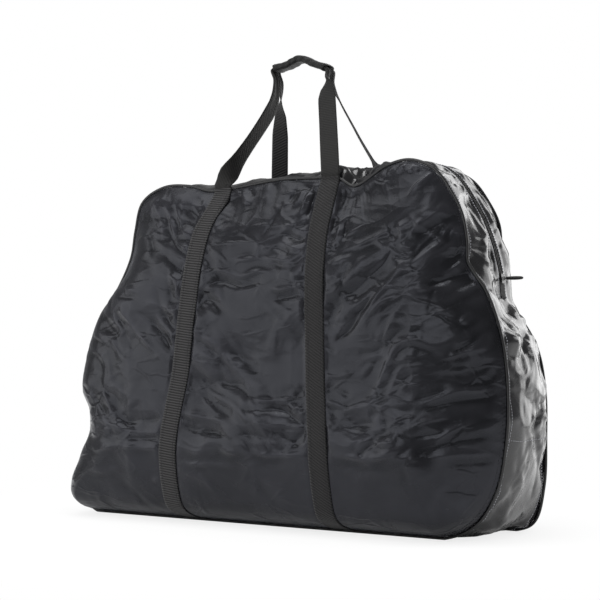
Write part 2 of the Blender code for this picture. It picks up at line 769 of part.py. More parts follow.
def handle_path(side):
    """One handle's middle line, from its left base over the grip to its right base."""
    y = side * (gathered_width + handle_split) / 2
    grip = grip_line(y)
    legs = []
    for hand, end in ((-1, grip[0]), (1, grip[-1])):
        base = handle_base(hand, side)
        spread = hand * shoulder_spreads[hand, side]
        shoulder = end + np.array([spread, 0.0, -shoulder_drop])
        shoulder[1] += (base[1] - y) * shoulder_drop / (end[2] - base[2])
        share, bow = leg_bends[hand, side]
        bend = base + (shoulder - base) * share + np.array([bow, 0.0, 0.0])
        root = base + np.array([0.0, 0.0, handle_root])
        legs.append([base, root, bend, shoulder])
    points = [*legs[0], *grip, *legs[1][::-1]]
    path = open_spline(points, samples_per_span)
    path[:, 1] = side * np.maximum(side * path[:, 1], abs(y))
    return path


def webbing_loops(path, side):
    """Loops across the webbing, which lies flat at its bases and turns on edge into the grip."""
    along = np.gradient(path, axis=0)
    along /= np.linalg.norm(along, axis=1)[:, None]
    steps = np.linalg.norm(np.diff(path, axis=0), axis=1)
    length = np.concatenate([[0.0], np.cumsum(steps)])
    share = length / length[-1]
    places, turns, folds = zip(*handle_turn_shares[side], strict=True)
    angle = np.interp(share, places, turns) * math.pi
    fold = np.interp(share, places, folds)
    if side > 0:
        angle = math.pi - angle
    width_way = np.column_stack([np.cos(angle), np.sin(angle), np.zeros(len(path))])
    width_way -= along * np.sum(width_way * along, axis=1)[:, None]
    width_way /= np.linalg.norm(width_way, axis=1)[:, None]
    thick_way = np.cross(along, width_way)
    width = webbing_width + (gathered_width - webbing_width) * fold
    thick = webbing_thickness + (gathered_thickness - webbing_thickness) * fold
    across = width_way * (width / 2)[:, None]
    through = thick_way * (thick / 2)[:, None]
    corners = (-across - through, across - through, across + through, through - across)
    return np.stack([path + corner for corner in corners], axis=1)


def make_handles():
    """The two webbing handles, each turning at its bases on the top of its panel."""
    for name, side in (("front_handle", -1), ("back_handle", 1)):
        left, right = handle_base(-1, side), handle_base(1, side)
        pivot = hinge(f"{name}_hinge", (left + right) / 2)
        swept(name, webbing_loops(handle_path(side), side), False, black_webbing, pivot)


def chamfered(half_y, half_z, chamfer):
    """The eight corners of a rectangle with cut corners."""
    y_in, z_in = half_y - chamfer, half_z - chamfer
    quarter = [(half_y, z_in), (y_in, half_z)]
    mirrored = [(-y, z) for y, z in quarter[::-1]]
    upper = quarter + mirrored
    return np.array(upper + [(y, -z) for y, z in upper[::-1]])


def make_grip_wrap():
    """A padded sleeve round both handles, which lie side by side in its slot."""
    path = (handle_path(-1) + handle_path(1)) / 2
    leg = leg_points * samples_per_span + 1
    path = path[leg:-leg]
    along = np.gradient(path, axis=0)
    along /= np.linalg.norm(along, axis=1)[:, None]
    across = np.array([0.0, 1.0, 0.0])
    up = np.cross(along, across)
    slot_half = gathered_width + handle_split / 2 + wrap_play
    slot_rise = gathered_thickness / 2 + wrap_play
    sections = (
        chamfered(wrap_width / 2, wrap_height / 2, wrap_chamfer),
        chamfered(slot_half, slot_rise, wrap_play),
    )
    loops = [
        path[:, None] + across * section[None, :, :1] + up[:, None] * section[None, :, 1:]
        for section in sections
    ]
    rows, columns = loops[0].shape[:2]
    inside = rows * columns
    faces = band_faces(rows, columns, False, True) + band_faces(rows, columns, False, True, inside)
    for start in (0, inside - columns):
        for j in range(columns):
            a, b = start + j, start + (j + 1) % columns
            faces += [(a, b, inside + b), (a, inside + b, inside + a)]
    vertices = np.concatenate(loops).reshape(-1, 3)
    mesh_object("grip_wrap", vertices, faces, black_webbing, bpy.data.objects["front_handle_hinge"])


make_panels()
make_gussets()
make_bindings()
make_piping()
make_panel_straps()
make_bottom_straps()
make_base_stiffener()
make_zip()
make_pull(make_slider())
make_handles()
make_grip_wrap()
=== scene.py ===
# Looks of a soft bike travel bag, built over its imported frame.
# Metres, +Z up. X runs along the bag, the front faces -Y, and the floor is z = 0.
import functools
import math

import bpy
import numpy as np
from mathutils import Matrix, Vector


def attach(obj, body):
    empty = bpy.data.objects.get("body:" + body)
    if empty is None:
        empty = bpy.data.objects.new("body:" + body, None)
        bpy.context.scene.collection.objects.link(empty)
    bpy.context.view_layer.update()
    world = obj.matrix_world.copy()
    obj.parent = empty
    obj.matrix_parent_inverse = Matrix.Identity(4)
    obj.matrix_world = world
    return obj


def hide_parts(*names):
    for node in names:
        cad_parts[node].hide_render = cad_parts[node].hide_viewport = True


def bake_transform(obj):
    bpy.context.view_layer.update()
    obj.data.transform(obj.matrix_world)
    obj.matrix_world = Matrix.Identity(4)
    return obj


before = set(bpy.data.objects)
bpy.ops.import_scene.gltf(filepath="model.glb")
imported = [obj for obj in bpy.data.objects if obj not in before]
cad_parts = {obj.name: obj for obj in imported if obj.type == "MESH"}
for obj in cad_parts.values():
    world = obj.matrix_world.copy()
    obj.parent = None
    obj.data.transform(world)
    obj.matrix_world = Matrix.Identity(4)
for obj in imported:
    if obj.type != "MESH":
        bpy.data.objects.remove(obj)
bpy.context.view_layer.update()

print("frame loaded:", len(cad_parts), "nodes")


def hexColour(text):
    # sRGB hex to linear light, with the usual 2.4 power curve
    parts = np.array([int(text[i:i + 2], 16) for i in (1, 3, 5)]) / 255
    linear = np.where(parts <= 0.04045, parts / 12.92, ((parts + 0.055) / 1.055) ** 2.4)
    return (*linear.tolist(), 1.0)


def addNode(tree, kind, inputs=None, feeds=(), stops=(), **settings):
    # one node: its settings, its colour stops, its inputs as values or (node, output) pairs to link,
    # and what it feeds as (output, node, input)
    node = tree.nodes.new("ShaderNode" + kind)
    for key, value in settings.items():
        setattr(node, key, value)
    for k, (position, colour) in enumerate(stops):
        node.color_ramp.elements[k].position, node.color_ramp.elements[k].color = position, hexColour(colour)
    for key, value in (inputs or {}).items():
        if isinstance(value, tuple) and isinstance(value[0], bpy.types.Node):
            tree.links.new(value[0].outputs[value[1]], node.inputs[key])
        else:
            node.inputs[key].default_value = value
    for output, target, key in feeds:
        tree.links.new(node.outputs[output], target.inputs[key])
    return node


def span(*limits):
    # the four limits of a Map Range node
    return dict(zip(("From Min", "From Max", "To Min", "To Max"), limits))


def newMaterial(name, **sockets):
    # a Principled material whose uniform values are set on its own sockets, and its maker of nodes
    material = bpy.data.materials.new(name)
    material.use_nodes = True
    shader = material.node_tree.nodes["Principled BSDF"]
    for key, value in sockets.items():
        shader.inputs[key.replace("_", " ")].default_value = value
    return material, functools.partial(addNode, material.node_tree), shader


def unit(vectors):
    # each vector over its own length
    return vectors / np.linalg.norm(vectors, axis=-1)[..., None]


def runOf(line):
    # the distance covered at each point of a line, as a running sum of its steps
    return np.concatenate([[0.0], np.cumsum(np.linalg.norm(np.diff(line, axis=0), axis=1))])


def readAlong(line, run, places):
    # every coordinate of a line, read at places along its run
    return np.column_stack([np.interp(places, run, line[:, k]) for k in range(line.shape[1])])


def evenly(line, count):
    # the line read again at equal steps of its length
    run = runOf(line)
    return readAlong(line, run, np.linspace(0, run[-1], count))


def joined(*parts):
    # arrays spread over one another, set side by side as the coordinates of points
    return np.stack(np.broadcast_arrays(*parts), axis=-1)


def atDepth(line, y):
    # (x, z) points put at a depth y
    return joined(line[..., 0], y, line[..., 1])


def gridFaces(rows, columns, closedRows=False, closedColumns=False):
    # quads between neighbouring rows and columns, wrapped round where the grid is closed
    i = np.arange(rows if closedRows else rows - 1)[:, None]
    j = np.arange(columns if closedColumns else columns - 1)[None]
    down, right = (i + 1) % rows, (j + 1) % columns
    return np.stack([i * columns + j, i * columns + right, down * columns + right, down * columns + j],
                    axis=-1).reshape(-1, 4)


def newPiece(name, points, faces, material, uv=None, flip=False):
    # a smooth mesh from a point array and a face array, with its UV in metres if it has one
    points = np.asarray(points, float).reshape(-1, 3)
    faces = np.asarray(faces)
    if flip:
        faces = faces[:, ::-1]
    mesh = bpy.data.meshes.new(name)
    sides = faces.shape[1]
    mesh.vertices.add(len(points))
    mesh.vertices.foreach_set("co", points.astype(np.float32).ravel())
    mesh.loops.add(faces.size)
    mesh.loops.foreach_set("vertex_index", faces.ravel().astype(np.int32))
    mesh.polygons.add(len(faces))
    mesh.polygons.foreach_set("loop_start", np.arange(0, faces.size, sides, dtype=np.int32))
    mesh.polygons.foreach_set("loop_total", np.full(len(faces), sides, dtype=np.int32))
    mesh.update(calc_edges=True)
    mesh.validate()
    mesh.polygons.foreach_set("use_smooth", np.ones(len(mesh.polygons), dtype=bool))
    if uv is not None:
        layer = mesh.uv_layers.new(name="clothMetres")
        index = np.zeros(len(mesh.loops), dtype=np.int32)
        mesh.loops.foreach_get("vertex_index", index)
        layer.data.foreach_set("uv", np.asarray(uv, np.float32).reshape(-1, 2)[index].ravel())
    mesh.materials.append(material)
    piece = bpy.data.objects.new(name, mesh)
    bpy.context.scene.collection.objects.link(piece)
    return piece


def settle(piece, body, slotName, *nodes):
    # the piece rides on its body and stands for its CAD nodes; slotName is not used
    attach(piece, body)
    if nodes:
        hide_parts(*nodes)
    return piece


def thicken(piece, thickness, side):
    # a wall of cloth: side 1 grows along the normals, -1 against them
    solid = piece.modifiers.new("wall", "SOLIDIFY")
    solid.thickness = thickness
    solid.offset = side
    solid.use_even_offset = False


# the bag's form, the same numbers as its solids

bagForm = {
    "length": 1.253, "height": 0.868, "gussetWidth": 0.23, "domeDepth": 0.126, "domeRise": 0.045,
    "seamLift": 0.0073, "crownLift": 0.0023, "sampleStep": 0.006,
    "plateauShare": 0.4, "edgeShare": 0.89,
    "seam": (
        (-0.0118, 0.0), (0.2273, 0.0), (0.3637, 0.0), (0.4257, 0.04), (0.4654, 0.128),
        (0.4837, 0.256), (0.4868, 0.384), (0.4766, 0.512), (0.4491, 0.628), (0.4227, 0.684),
        (0.4095, 0.716), (0.4084, 0.767), (0.3993, 0.8367), (0.3765, 0.9011), (0.3417, 0.9626),
        (0.2955, 0.9885), (0.2477, 0.9776), (0.1775, 0.9276), (0.1408, 0.9523), (0.0838, 0.9575),
        (0.0126, 0.9595), (-0.0993, 0.9442), (-0.1567, 0.9403), (-0.2081, 0.9583), (-0.2746, 0.9592),
        (-0.3274, 0.9185), (-0.3447, 0.8384), (-0.3557, 0.7587), (-0.395, 0.656), (-0.4385, 0.581),
        (-0.4674, 0.477), (-0.4758, 0.372), (-0.4482, 0.258), (-0.471, 0.18), (-0.4875, 0.107),
        (-0.4773, 0.037), (-0.4465, 0.0), (-0.3466, 0.0), (-0.1716, 0.0),
    ),
    "backMoves": {  # how far points of the back seam lie from the front's
        2: (0.0559, 0.0), 3: (0.0287, -0.0161), 4: (0.008, -0.0092), 5: (-0.0064, 0.0),
        6: (-0.0112, 0.0), 7: (-0.0176, -0.0173), 8: (-0.0319, -0.0392), 9: (-0.0351, -0.0484),
        10: (-0.0223, -0.0461), 11: (-0.0215, -0.023), 12: (-0.0152, -0.0092),
        13: (-0.016, -0.0046), 14: (-0.0128, -0.0092), 15: (-0.008, -0.0069),
    },
    "crownRight": (
        (-0.0118, 0.0), (0.2273, 0.0), (0.3799, 0.0), (0.442, 0.03), (0.4766, 0.125),
        (0.497, 0.256), (0.499, 0.384), (0.4848, 0.5), (0.4552, 0.581),
    ),
    "zipArcCentre": (0.07418, 0.51826), "zipArcRadius": 0.476,
    "zipArcDegrees": (3.0, 10.0, 17.0, 25.0, 33.0, 41.0),
    "crownLeft": (
        (0.3108, 0.99), (0.2517, 0.9996), (0.1775, 0.9906), (0.1408, 0.9886), (0.0838, 0.9877),
        (0.0126, 0.9847), (-0.0993, 0.9719), (-0.1567, 0.9692), (-0.2081, 0.9722), (-0.2746, 0.967),
        (-0.3376, 0.9243), (-0.3569, 0.8402), (-0.3689, 0.7575), (-0.4072, 0.665), (-0.4507, 0.591),
        (-0.4806, 0.479), (-0.49, 0.372), (-0.4686, 0.262), (-0.4833, 0.18), (-0.5003, 0.107),
        (-0.4854, 0.032), (-0.4465, 0.0), (-0.3466, 0.0), (-0.1716, 0.0),
    ),
    "domeByHeight": (
        (-0.05, 0.63), (0.0, 0.74), (0.07, 0.9), (0.14, 1.02), (0.2, 1.04), (0.3, 0.97), (0.42, 0.83), (0.6, 0.73),
        (0.7, 0.66), (0.82, 0.47), (0.9, 0.31), (1.0, 0.18), (1.05, 0.14),
    ),
    "riseByHeight": ((0.0, 0.35), (0.06, 0.4), (0.16, 1.0)),
    "taperByLength": ((0.33, 1.0), (0.37, 0.94), (0.41, 0.83), (0.45, 0.72), (0.49, 0.66)),
    "strapCentre": -0.0118,
    "strapByHeight": (
        (-0.1, 0.174), (0.15, 0.174), (0.25, 0.171), (0.42, 0.1547), (0.6, 0.1465),
        (0.82, 0.1369), (0.97, 0.1262), (1.1, 0.1201),
    ),
    "strapLean": {-1: ((0.8, 0.0), (1.0, 0.0132)), 1: ((0.0, 0.0), (1.0, 0.02))},
    "pipingRadius": 0.0035, "webbingWidth": 0.05, "fitGap": 0.0003,
}
halfGusset = bagForm["gussetWidth"] / 2


def splineSpan(p0, p1, p2, p3, shares):
    # centripetal Catmull-Rom: knots spaced by the square root of each distance, then blended lines
    knots = np.cumsum([0.0] + [math.sqrt(np.linalg.norm(b - a)) for a, b in ((p0, p1), (p1, p2), (p2, p3))])
    t0, t1, t2, t3 = knots
    t = (t1 + (t2 - t1) * shares)[:, None]
    a1 = (t1 - t) / (t1 - t0) * p0 + (t - t0) / (t1 - t0) * p1
    a2 = (t2 - t) / (t2 - t1) * p1 + (t - t1) / (t2 - t1) * p2
    a3 = (t3 - t) / (t3 - t2) * p2 + (t - t2) / (t3 - t2) * p3
    b1 = (t2 - t) / (t2 - t0) * a1 + (t - t0) / (t2 - t0) * a2
    b2 = (t3 - t) / (t3 - t1) * a2 + (t - t1) / (t3 - t1) * a3
    return (t2 - t) / (t2 - t1) * b1 + (t - t1) / (t2 - t1) * b2


def closedLine(points, counts):
    # a closed spline with counts[k] samples after point k
    around = [[points[(k + step) % len(points)] for step in (-1, 0, 1, 2)] for k in range(len(points))]
    return np.vstack([splineSpan(*four, np.arange(n) / n) for four, n in zip(around, counts)])


def openLine(points, count):
    # an open spline with count samples in each span and the last point
    points = [np.asarray(p, float) for p in points]
    padded = [2 * points[0] - points[1], *points, 2 * points[-1] - points[-2]]
    spans = [splineSpan(*padded[k:k + 4], np.arange(count) / count) for k in range(len(points) - 1)]
    return np.vstack([*spans, points[-1][None]])


def inMetres(shares, base):
    # outline points from shares of the length and of the height over a base line
    return [np.array([a * bagForm["length"], base + b * (bagForm["height"] - base)]) for a, b in shares]


def unitNormals(line):
    # outward normals of a closed line that runs counterclockwise
    along = unit(np.roll(line, -1, axis=0) - np.roll(line, 1, axis=0))
    return np.column_stack([along[:, 1], -along[:, 0]])


def smoothTable(table, places, reach):
    # a table read as a smooth curve: straight pieces, averaged over a moving window of the given reach
    xs, ys = np.array(table).T
    shifts = np.linspace(-reach, reach, 9)
    weights = np.cos(shifts / reach * math.pi / 2) ** 2 + 0.05
    return sum(w * np.interp(places + s, xs, ys) for s, w in zip(shifts, weights)) / weights.sum()


arcPoints = [
    np.array(bagForm["zipArcCentre"]) + bagForm["zipArcRadius"] * np.array([math.cos(a), math.sin(a)])
    for a in np.radians(bagForm["zipArcDegrees"])
]
seamPoints = inMetres(bagForm["seam"], bagForm["seamLift"])
backShares = [np.add(point, bagForm["backMoves"].get(k, 0.0)) for k, point in enumerate(bagForm["seam"])]
crownPoints = [
    *inMetres(bagForm["crownRight"], bagForm["crownLift"]), *arcPoints,
    *inMetres(bagForm["crownLeft"], bagForm["crownLift"]),
]
pointCount = len(seamPoints)
spanCounts = [
    math.ceil(np.linalg.norm(seamPoints[(k + 1) % pointCount] - seamPoints[k]) / bagForm["sampleStep"])
    for k in range(pointCount)
]
seamLines = {  # by side: -1 is the front's seam, 1 the back's
    -1: closedLine(seamPoints, spanCounts),
    1: closedLine(inMetres(backShares, bagForm["seamLift"]), spanCounts),
}
for line in seamLines.values():
    line[:, 1] = np.maximum(line[:, 1], bagForm["seamLift"])
crownLine = closedLine(crownPoints, spanCounts)
crownLine[:, 1] = np.maximum(crownLine[:, 1], bagForm["crownLift"])
seamNormals = {side: unitNormals(line) for side, line in seamLines.items()}
crownNormals = unitNormals(crownLine)
stationPoint = np.concatenate([k + np.arange(n) / n for k, n in enumerate(spanCounts)])  # place in the table
seamSteps = np.linalg.norm(np.roll(seamLines[-1], -1, axis=0) - seamLines[-1], axis=1)
seamLength = np.concatenate([[0.0], np.cumsum(seamSteps)[:-1]])
seamTotal = float(seamSteps.sum())
stationCount = len(crownLine)
print("outline:", stationCount, "stations, seam", round(seamTotal, 3), "m")


def stationOf(point):
    # the station of a table point
    return int(sum(spanCounts[:int(point)]))


def stationRange(first, last):
    # all stations from one table point to another, counterclockwise
    a, b = stationOf(first), stationOf(last)
    return np.arange(a, (b if b > a else b + stationCount) + 1) % stationCount


# random fields for the cloth

def smoothStep(value):
    # 3 v^2 - 2 v^3 between 0 and 1
    value = np.clip(value, 0, 1)
    return value * value * (3 - 2 * value)


noiseRaster = {"step": 0.004, "columns": 400, "rows": 300}  # wraps round at both edges


def noiseField(seed, wave, stretch=1.0, tilt=0.0):
    # white noise kept near one wavelength, drawn out by a stretch along a tilted line; unit spread
    rows, columns, step = noiseRaster["rows"], noiseRaster["columns"], noiseRaster["step"]
    white = np.fft.fft2(np.random.default_rng(seed).standard_normal((rows, columns)))
    fz, fx = np.fft.fftfreq(rows, step)[:, None], np.fft.fftfreq(columns, step)[None]
    along, across = fx * math.cos(tilt) + fz * math.sin(tilt), fz * math.cos(tilt) - fx * math.sin(tilt)
    ring = np.hypot(along * stretch, across) * wave
    field = np.real(np.fft.ifft2(white * np.exp(-((ring - 1) / 0.42) ** 2)))
    return field / field.std()


def readField(field, x, z):
    # bilinear reading of a field at any place, wrapped round
    rows, columns, step = noiseRaster["rows"], noiseRaster["columns"], noiseRaster["step"]
    u, v = np.mod(x / step, columns), np.mod(z / step, rows)
    i, j = np.floor(v).astype(int), np.floor(u).astype(int)
    fv, fu = v - i, u - j
    i, j = i % rows, j % columns
    i2, j2 = (i + 1) % rows, (j + 1) % columns
    return ((field[i, j] * (1 - fu) + field[i, j2] * fu) * (1 - fv)
            + (field[i2, j] * (1 - fu) + field[i2, j2] * fu) * fv)


def crumple(x, z, seed, wave, stretch=1.0, tilt=0.0):
    # creased nylon: the greater of two smooth fields less the greater of two more, so that smooth facets
    # meet in sharp ridges and valleys; drawn out along a tilted line and read at slowly shifted places
    places = [p + 0.2 * wave * readField(noiseField(seed + k, wave * 2.2), x, z) for k, p in enumerate((x, z))]
    a, b, c, d = [readField(noiseField(seed + k, wave, stretch, tilt), *places) for k in (2, 3, 4, 5)]
    return np.maximum(a, b) - np.maximum(c, d)


def patchiness(x, z, seed, wave, mean, least):
    # how strongly each area is creased: a slow field round its mean, kept above a least share
    return np.clip(mean + 0.5 * readField(noiseField(seed, wave), x, z), least, 1.5)


foldForm = {
    "waver": 0.0032, "waverWave": 0.130, "uneven": 0.35, "unevenWave": 0.090,
    "longSide": 1.3, "steepSide": 0.6, "power": 1.15, "overrun": 0.15, "endShare": 0.45,
}


def foldField(x, z, folds, seed):
    # each fold is a bowed, wavering crest, height times exp(-|distance / reach| ^ power), with one steep
    # and one long side, uneven along its run and fading at its ends
    total = np.zeros_like(x)
    waver = foldForm["waver"] * readField(noiseField(seed, foldForm["waverWave"]), x, z)
    uneven = 1 + foldForm["uneven"] * readField(noiseField(seed + 1, foldForm["unevenWave"]), x, z)
    for x0, z0, x1, z1, width, height, bow in folds:
        dx, dz = x1 - x0, z1 - z0
        length = math.hypot(dx, dz)
        t = ((x - x0) * dx + (z - z0) * dz) / length ** 2
        away = ((z - z0) * dx - (x - x0) * dz) / length - bow / 1000 * 4 * t * (1 - t) + waver
        reach = np.where(away > 0, foldForm["longSide"], foldForm["steepSide"]) * width / 1000
        ends = np.minimum(t + foldForm["overrun"], 1 + foldForm["overrun"] - t) / foldForm["endShare"]
        total += height / 1000 * np.exp(-(np.abs(away) / reach) ** foldForm["power"]) * smoothStep(ends)
    return total * np.clip(uneven, 0.2, 2)


# the side panels

panelForm = {
    "columns": 340, "rows": 240,
    "corners": (35, 3, 14, 25),  # table points where the patch turns: lower left and right, upper right and left
    "foldShare": 1.35, "underStrap": 0.15, "seamFade": 0.012, "strapFade": 0.012, "rimFade": 0.030,
    "bandTop": 0.165, "bandFade": 0.05,  # the foot's calmer band
    "seamGather": 0.0012, "seamReach": 0.060, "seamWave": 0.050,
    "strapGather": 0.0009, "strapReach": 0.035, "strapWave": 0.040,
    "crumples": ((200, 0.170, 0.0024), (210, 0.085, 0.0018), (220, 0.045, 0.00070)),  # seed, wave, depth
    "frontUndulation": 0.0026, "frontStretch": 2.6, "leftTilt": -0.55, "rightTilt": 0.60,
    "backUndulation": 0.0034, "backStretch": 1.6, "backTilt": 0.5, "backShare": 1.2,
    "jitter": 0.003, "creaseFade": 0.08, "creaseOverrun": 0.03,
    "frontCreases": (  # packing creases: points down or along each, height, reach, whether upright
        (((-0.410, 0.70), (-0.381, 0.474), (-0.361, 0.275), (-0.345, 0.10)), 0.0022, 0.030, True),
        (((-0.010, 0.72), (0.014, 0.472), (0.029, 0.285), (0.038, 0.147)), 0.0012, 0.022, True),
        (((0.085, 0.70), (0.104, 0.472), (0.119, 0.287), (0.127, 0.151)), 0.0012, 0.022, True),
        (((0.405, 0.68), (0.422, 0.471), (0.433, 0.295), (0.443, 0.130)), 0.0036, 0.022, True),
        (((-0.615, 0.172), (-0.252, 0.184), (0.235, 0.190), (0.505, 0.186)), 0.0045, 0.050, False),
    ),
    "backCreases": (
        (((-0.12, 0.74), (-0.13, 0.12)), 0.0025, 0.030, True),
        (((0.34, 0.76), (0.36, 0.12)), 0.0025, 0.030, True),
        (((-0.58, 0.20), (0.52, 0.19)), 0.0035, 0.050, False),
    ),
    "folds": (  # mm: from (x, z) to (x, z), width, height, bow
        (-360, 798, -309, 711, 9, 2.5, 4), (-316, 781, -204, 650, 8, 3, -4), (-296, 800, -223, 703, 7, 2.5, -3),
        (-271, 801, -247, 716, 7, 2.5, 2), (-231, 784, -191, 739, 6, 2, 0), (-256, 696, -181, 639, 7, 2.5, 2),
        (-289, 718, -203, 640, 7, -2, 2), (-366, 721, -332, 661, 10, -2, 3), (-454, 570, -351, 573, 7, 3, 3),
        (-440, 555, -362, 559, 6, -2.5, 0), (-445, 542, -363, 436, 10, -4, -5),
        (-418, 534, -348, 454, 7, 3, -4), (-349, 518, -236, 419, 16, -5, 6), (-361, 466, -262, 390, 10, 3.5, 4),
        (-317, 548, -232, 503, 9, 2.5, 3), (-450, 436, -391, 474, 9, 2, 2), (-511, 317, -394, 230, 12, -4, 4),
        (-464, 335, -378, 226, 9, 3, 3), (-475, 252, -368, 226, 7, 3, 2), (-376, 243, -243, 261, 9, -3.5, 2),
        (-378, 226, -246, 227, 7, 3, -2), (-363, 199, -254, 215, 7, -2.5, 0), (-458, 176, -252, 184, 7, 3, 0),
        (-482, 122, -377, 132, 14, 2, 0), (-283, 107, -237, 119, 7, 2, 0), (-146, 614, 34, 600, 6, 3.5, 2),
        (-141, 592, 7, 577, 12, -4, 2), (-76, 641, 126, 630, 6, 2.5, 3), (42, 571, 153, 576, 7, 3, -2),
        (49, 550, 150, 551, 8, -2.5, 0), (-136, 437, -102, 415, 6, -3, 0), (-150, 546, -112, 528, 6, -2.5, 0),
        (-93, 819, -58, 780, 6, 3, -5), (-75, 823, -51, 797, 5, -2, -3), (39, 778, 11, 696, 7, -2, 2),
        (-26, 786, -64, 709, 12, 1.5, 3), (70, 820, 56, 777, 6, -3, 3), (88, 814, 75, 766, 6, 3, 3),
        (122, 817, 119, 716, 6, -3.5, 0), (105, 813, 99, 746, 5, 3, 0), (58, 723, 97, 724, 6, 3, 0),
        (64, 706, 125, 675, 8, -5, 0), (59, 685, 117, 654, 7, 3.5, 0), (29, 674, 90, 648, 6, -3, 2),
        (7, 668, 45, 678, 6, 2.5, 0), (-192, 272, -60, 259, 8, 3, -3), (-183, 241, -54, 217, 9, -4, -3),
        (-186, 208, -87, 197, 7, 2, -2), (3, 312, 174, 282, 9, 3, 2), (-6, 291, 171, 257, 10, -3.5, 2),
        (24, 253, 175, 244, 8, 2.5, 0), (-17, 223, 152, 220, 8, -2, 0), (-191, 186, 178, 185, 8, 3, 0),
        (-178, 153, -36, 155, 8, 2.5, 0), (-142, 133, -91, 58, 6, 1.5, 2), (191, 813, 187, 732, 6, 3, 0),
        (205, 812, 201, 746, 6, -3, 0), (216, 812, 213, 740, 6, 2.5, 0), (190, 732, 190, 699, 7, -3, 0),
        (207, 712, 204, 661, 6, 3, 0), (223, 731, 223, 679, 6, -2.5, 0), (236, 806, 282, 827, 7, 2.5, 3),
        (335, 847, 318, 831, 5, 3, 0), (358, 852, 342, 835, 5, 3, 0), (379, 851, 370, 835, 5, 2.5, 0),
        (395, 843, 392, 829, 5, -2, 0), (427, 836, 381, 763, 6, 2, -5), (351, 818, 367, 756, 6, 1.8, 0),
        (395, 723, 474, 659, 5, 2, 0), (457, 716, 538, 659, 9, 2, 3), (203, 628, 254, 645, 6, 2.5, 0),
        (216, 651, 407, 713, 7, 2.5, -6), (339, 702, 371, 674, 6, -3, 0), (367, 706, 391, 682, 5, 3, 0),
        (354, 667, 405, 650, 6, -3, 2), (387, 673, 414, 656, 5, 3, 0), (367, 642, 409, 634, 5, -2.5, 0),
        (308, 676, 342, 656, 6, 2.5, 0), (398, 623, 272, 471, 10, 3.5, 5), (410, 569, 293, 480, 11, 3, -5),
        (371, 651, 237, 540, 10, -2.5, 4), (262, 627, 232, 540, 9, -2, 0), (321, 548, 231, 440, 12, -3, 0),
        (394, 533, 342, 438, 12, 2.5, 4), (205, 541, 253, 499, 8, -2.5, 3), (205, 437, 232, 421, 6, -2, 0),
        (206, 358, 277, 372, 7, 2.5, 0), (214, 340, 276, 323, 8, -3, 2), (214, 308, 269, 296, 7, 2.5, 0),
        (537, 648, 483, 598, 7, 8, -3), (522, 655, 469, 621, 8, -5, -3), (552, 618, 455, 562, 20, -8, 0),
        (428, 555, 472, 576, 10, 3, 0), (473, 559, 455, 510, 9, -3, 0), (465, 510, 515, 497, 8, 3, 3),
        (544, 514, 525, 488, 9, 3, 0), (518, 423, 572, 453, 7, -3, 0), (499, 410, 571, 432, 7, 2.5, 0),
        (458, 313, 577, 346, 7, 3, 2), (460, 296, 586, 325, 8, -3, 2), (440, 322, 503, 336, 6, -2.5, 0),
        (492, 232, 554, 273, 6, 3, 0), (488, 215, 583, 240, 9, -3, 0), (493, 196, 589, 200, 5, 3, 0),
        (514, 180, 595, 181, 8, -2, 0), (446, 263, 513, 280, 7, 2.5, 0), (450, 237, 510, 246, 6, -2.5, 0),
        (232, 189, 447, 190, 8, 3.5, 0), (235, 165, 415, 165, 12, -1.5, 0), (244, 246, 360, 263, 9, -2, 2),
        (249, 286, 386, 307, 9, 2, 2), (272, 225, 413, 217, 9, 1.8, 0),
    ),
}


panelFolds = [(*(v / 1000 for v in fold[:4]), *fold[4:]) for fold in panelForm["folds"]]


def nearestSeam(x, z, side):
    # the shortest way in the panel's plane from each place to its seam, and how far round the seam that is
    shape, seamLine = x.shape, seamLines[side]
    x, z = x.ravel(), z.ravel()
    away, along = np.zeros(len(x)), np.zeros(len(x))
    for part in np.array_split(np.arange(len(x)), max(1, len(x) // 4000)):
        squares = (x[part, None] - seamLine[None, :, 0]) ** 2 + (z[part, None] - seamLine[None, :, 1]) ** 2
        near = squares.argmin(axis=1)
        away[part], along[part] = np.sqrt(squares.min(axis=1)), seamLength[near]
    return away.reshape(shape), along.reshape(shape)


def domeDepth(x, z, edge):
    # depth by height, rising from the seam as 1 - exp(-distance), and drawn in towards the right end
    up = z / bagForm["height"]
    share = smoothTable(bagForm["domeByHeight"], up, 0.04)
    share = share * smoothTable(bagForm["taperByLength"], x / bagForm["length"], 0.02)
    rise = bagForm["domeRise"] * smoothTable(bagForm["riseByHeight"], up, 0.03)
    return bagForm["domeDepth"] * share * (1 - np.exp(-edge / rise))


def strapMiddle(z, hand, side):
    # the strap's middle along the bag: its share of the length at each height, and its lean
    up = z / bagForm["height"]
    share = bagForm["strapCentre"] + hand * smoothTable(bagForm["strapByHeight"], up, 0.05)
    return (share + smoothTable(bagForm["strapLean"][side], up, 0.05)) * bagForm["length"]


def strapGap(x, z, side):
    # how far a place lies outside the edge of the nearest strap; negative under it
    return np.minimum(*[np.abs(x - strapMiddle(z, hand, side)) for hand in (-1, 1)]) - bagForm["webbingWidth"] / 2


def creaseTurn(x, z, line, height, reach, upright):
    # a sharp crest along a line: height times exp(-distance / reach), worn unevenly along its run
    points = np.array(line[::-1] if upright else line)
    jitter = panelForm["jitter"] * readField(noiseField(71, 0.05), x, z)
    run, off, k = (z, x, 1) if upright else (x, z, 0)
    away = off - np.interp(run, points[:, k], points[:, 1 - k])
    over, width = panelForm["creaseOverrun"], panelForm["creaseFade"]
    fade = smoothStep((run - points[0, k] + over) / width) * smoothStep((points[-1, k] + over - run) / width)
    wear = 0.8 + 0.3 * readField(noiseField(72, 0.11), x, z)
    return height * wear * fade * np.exp(-np.abs(away + jitter) / reach)


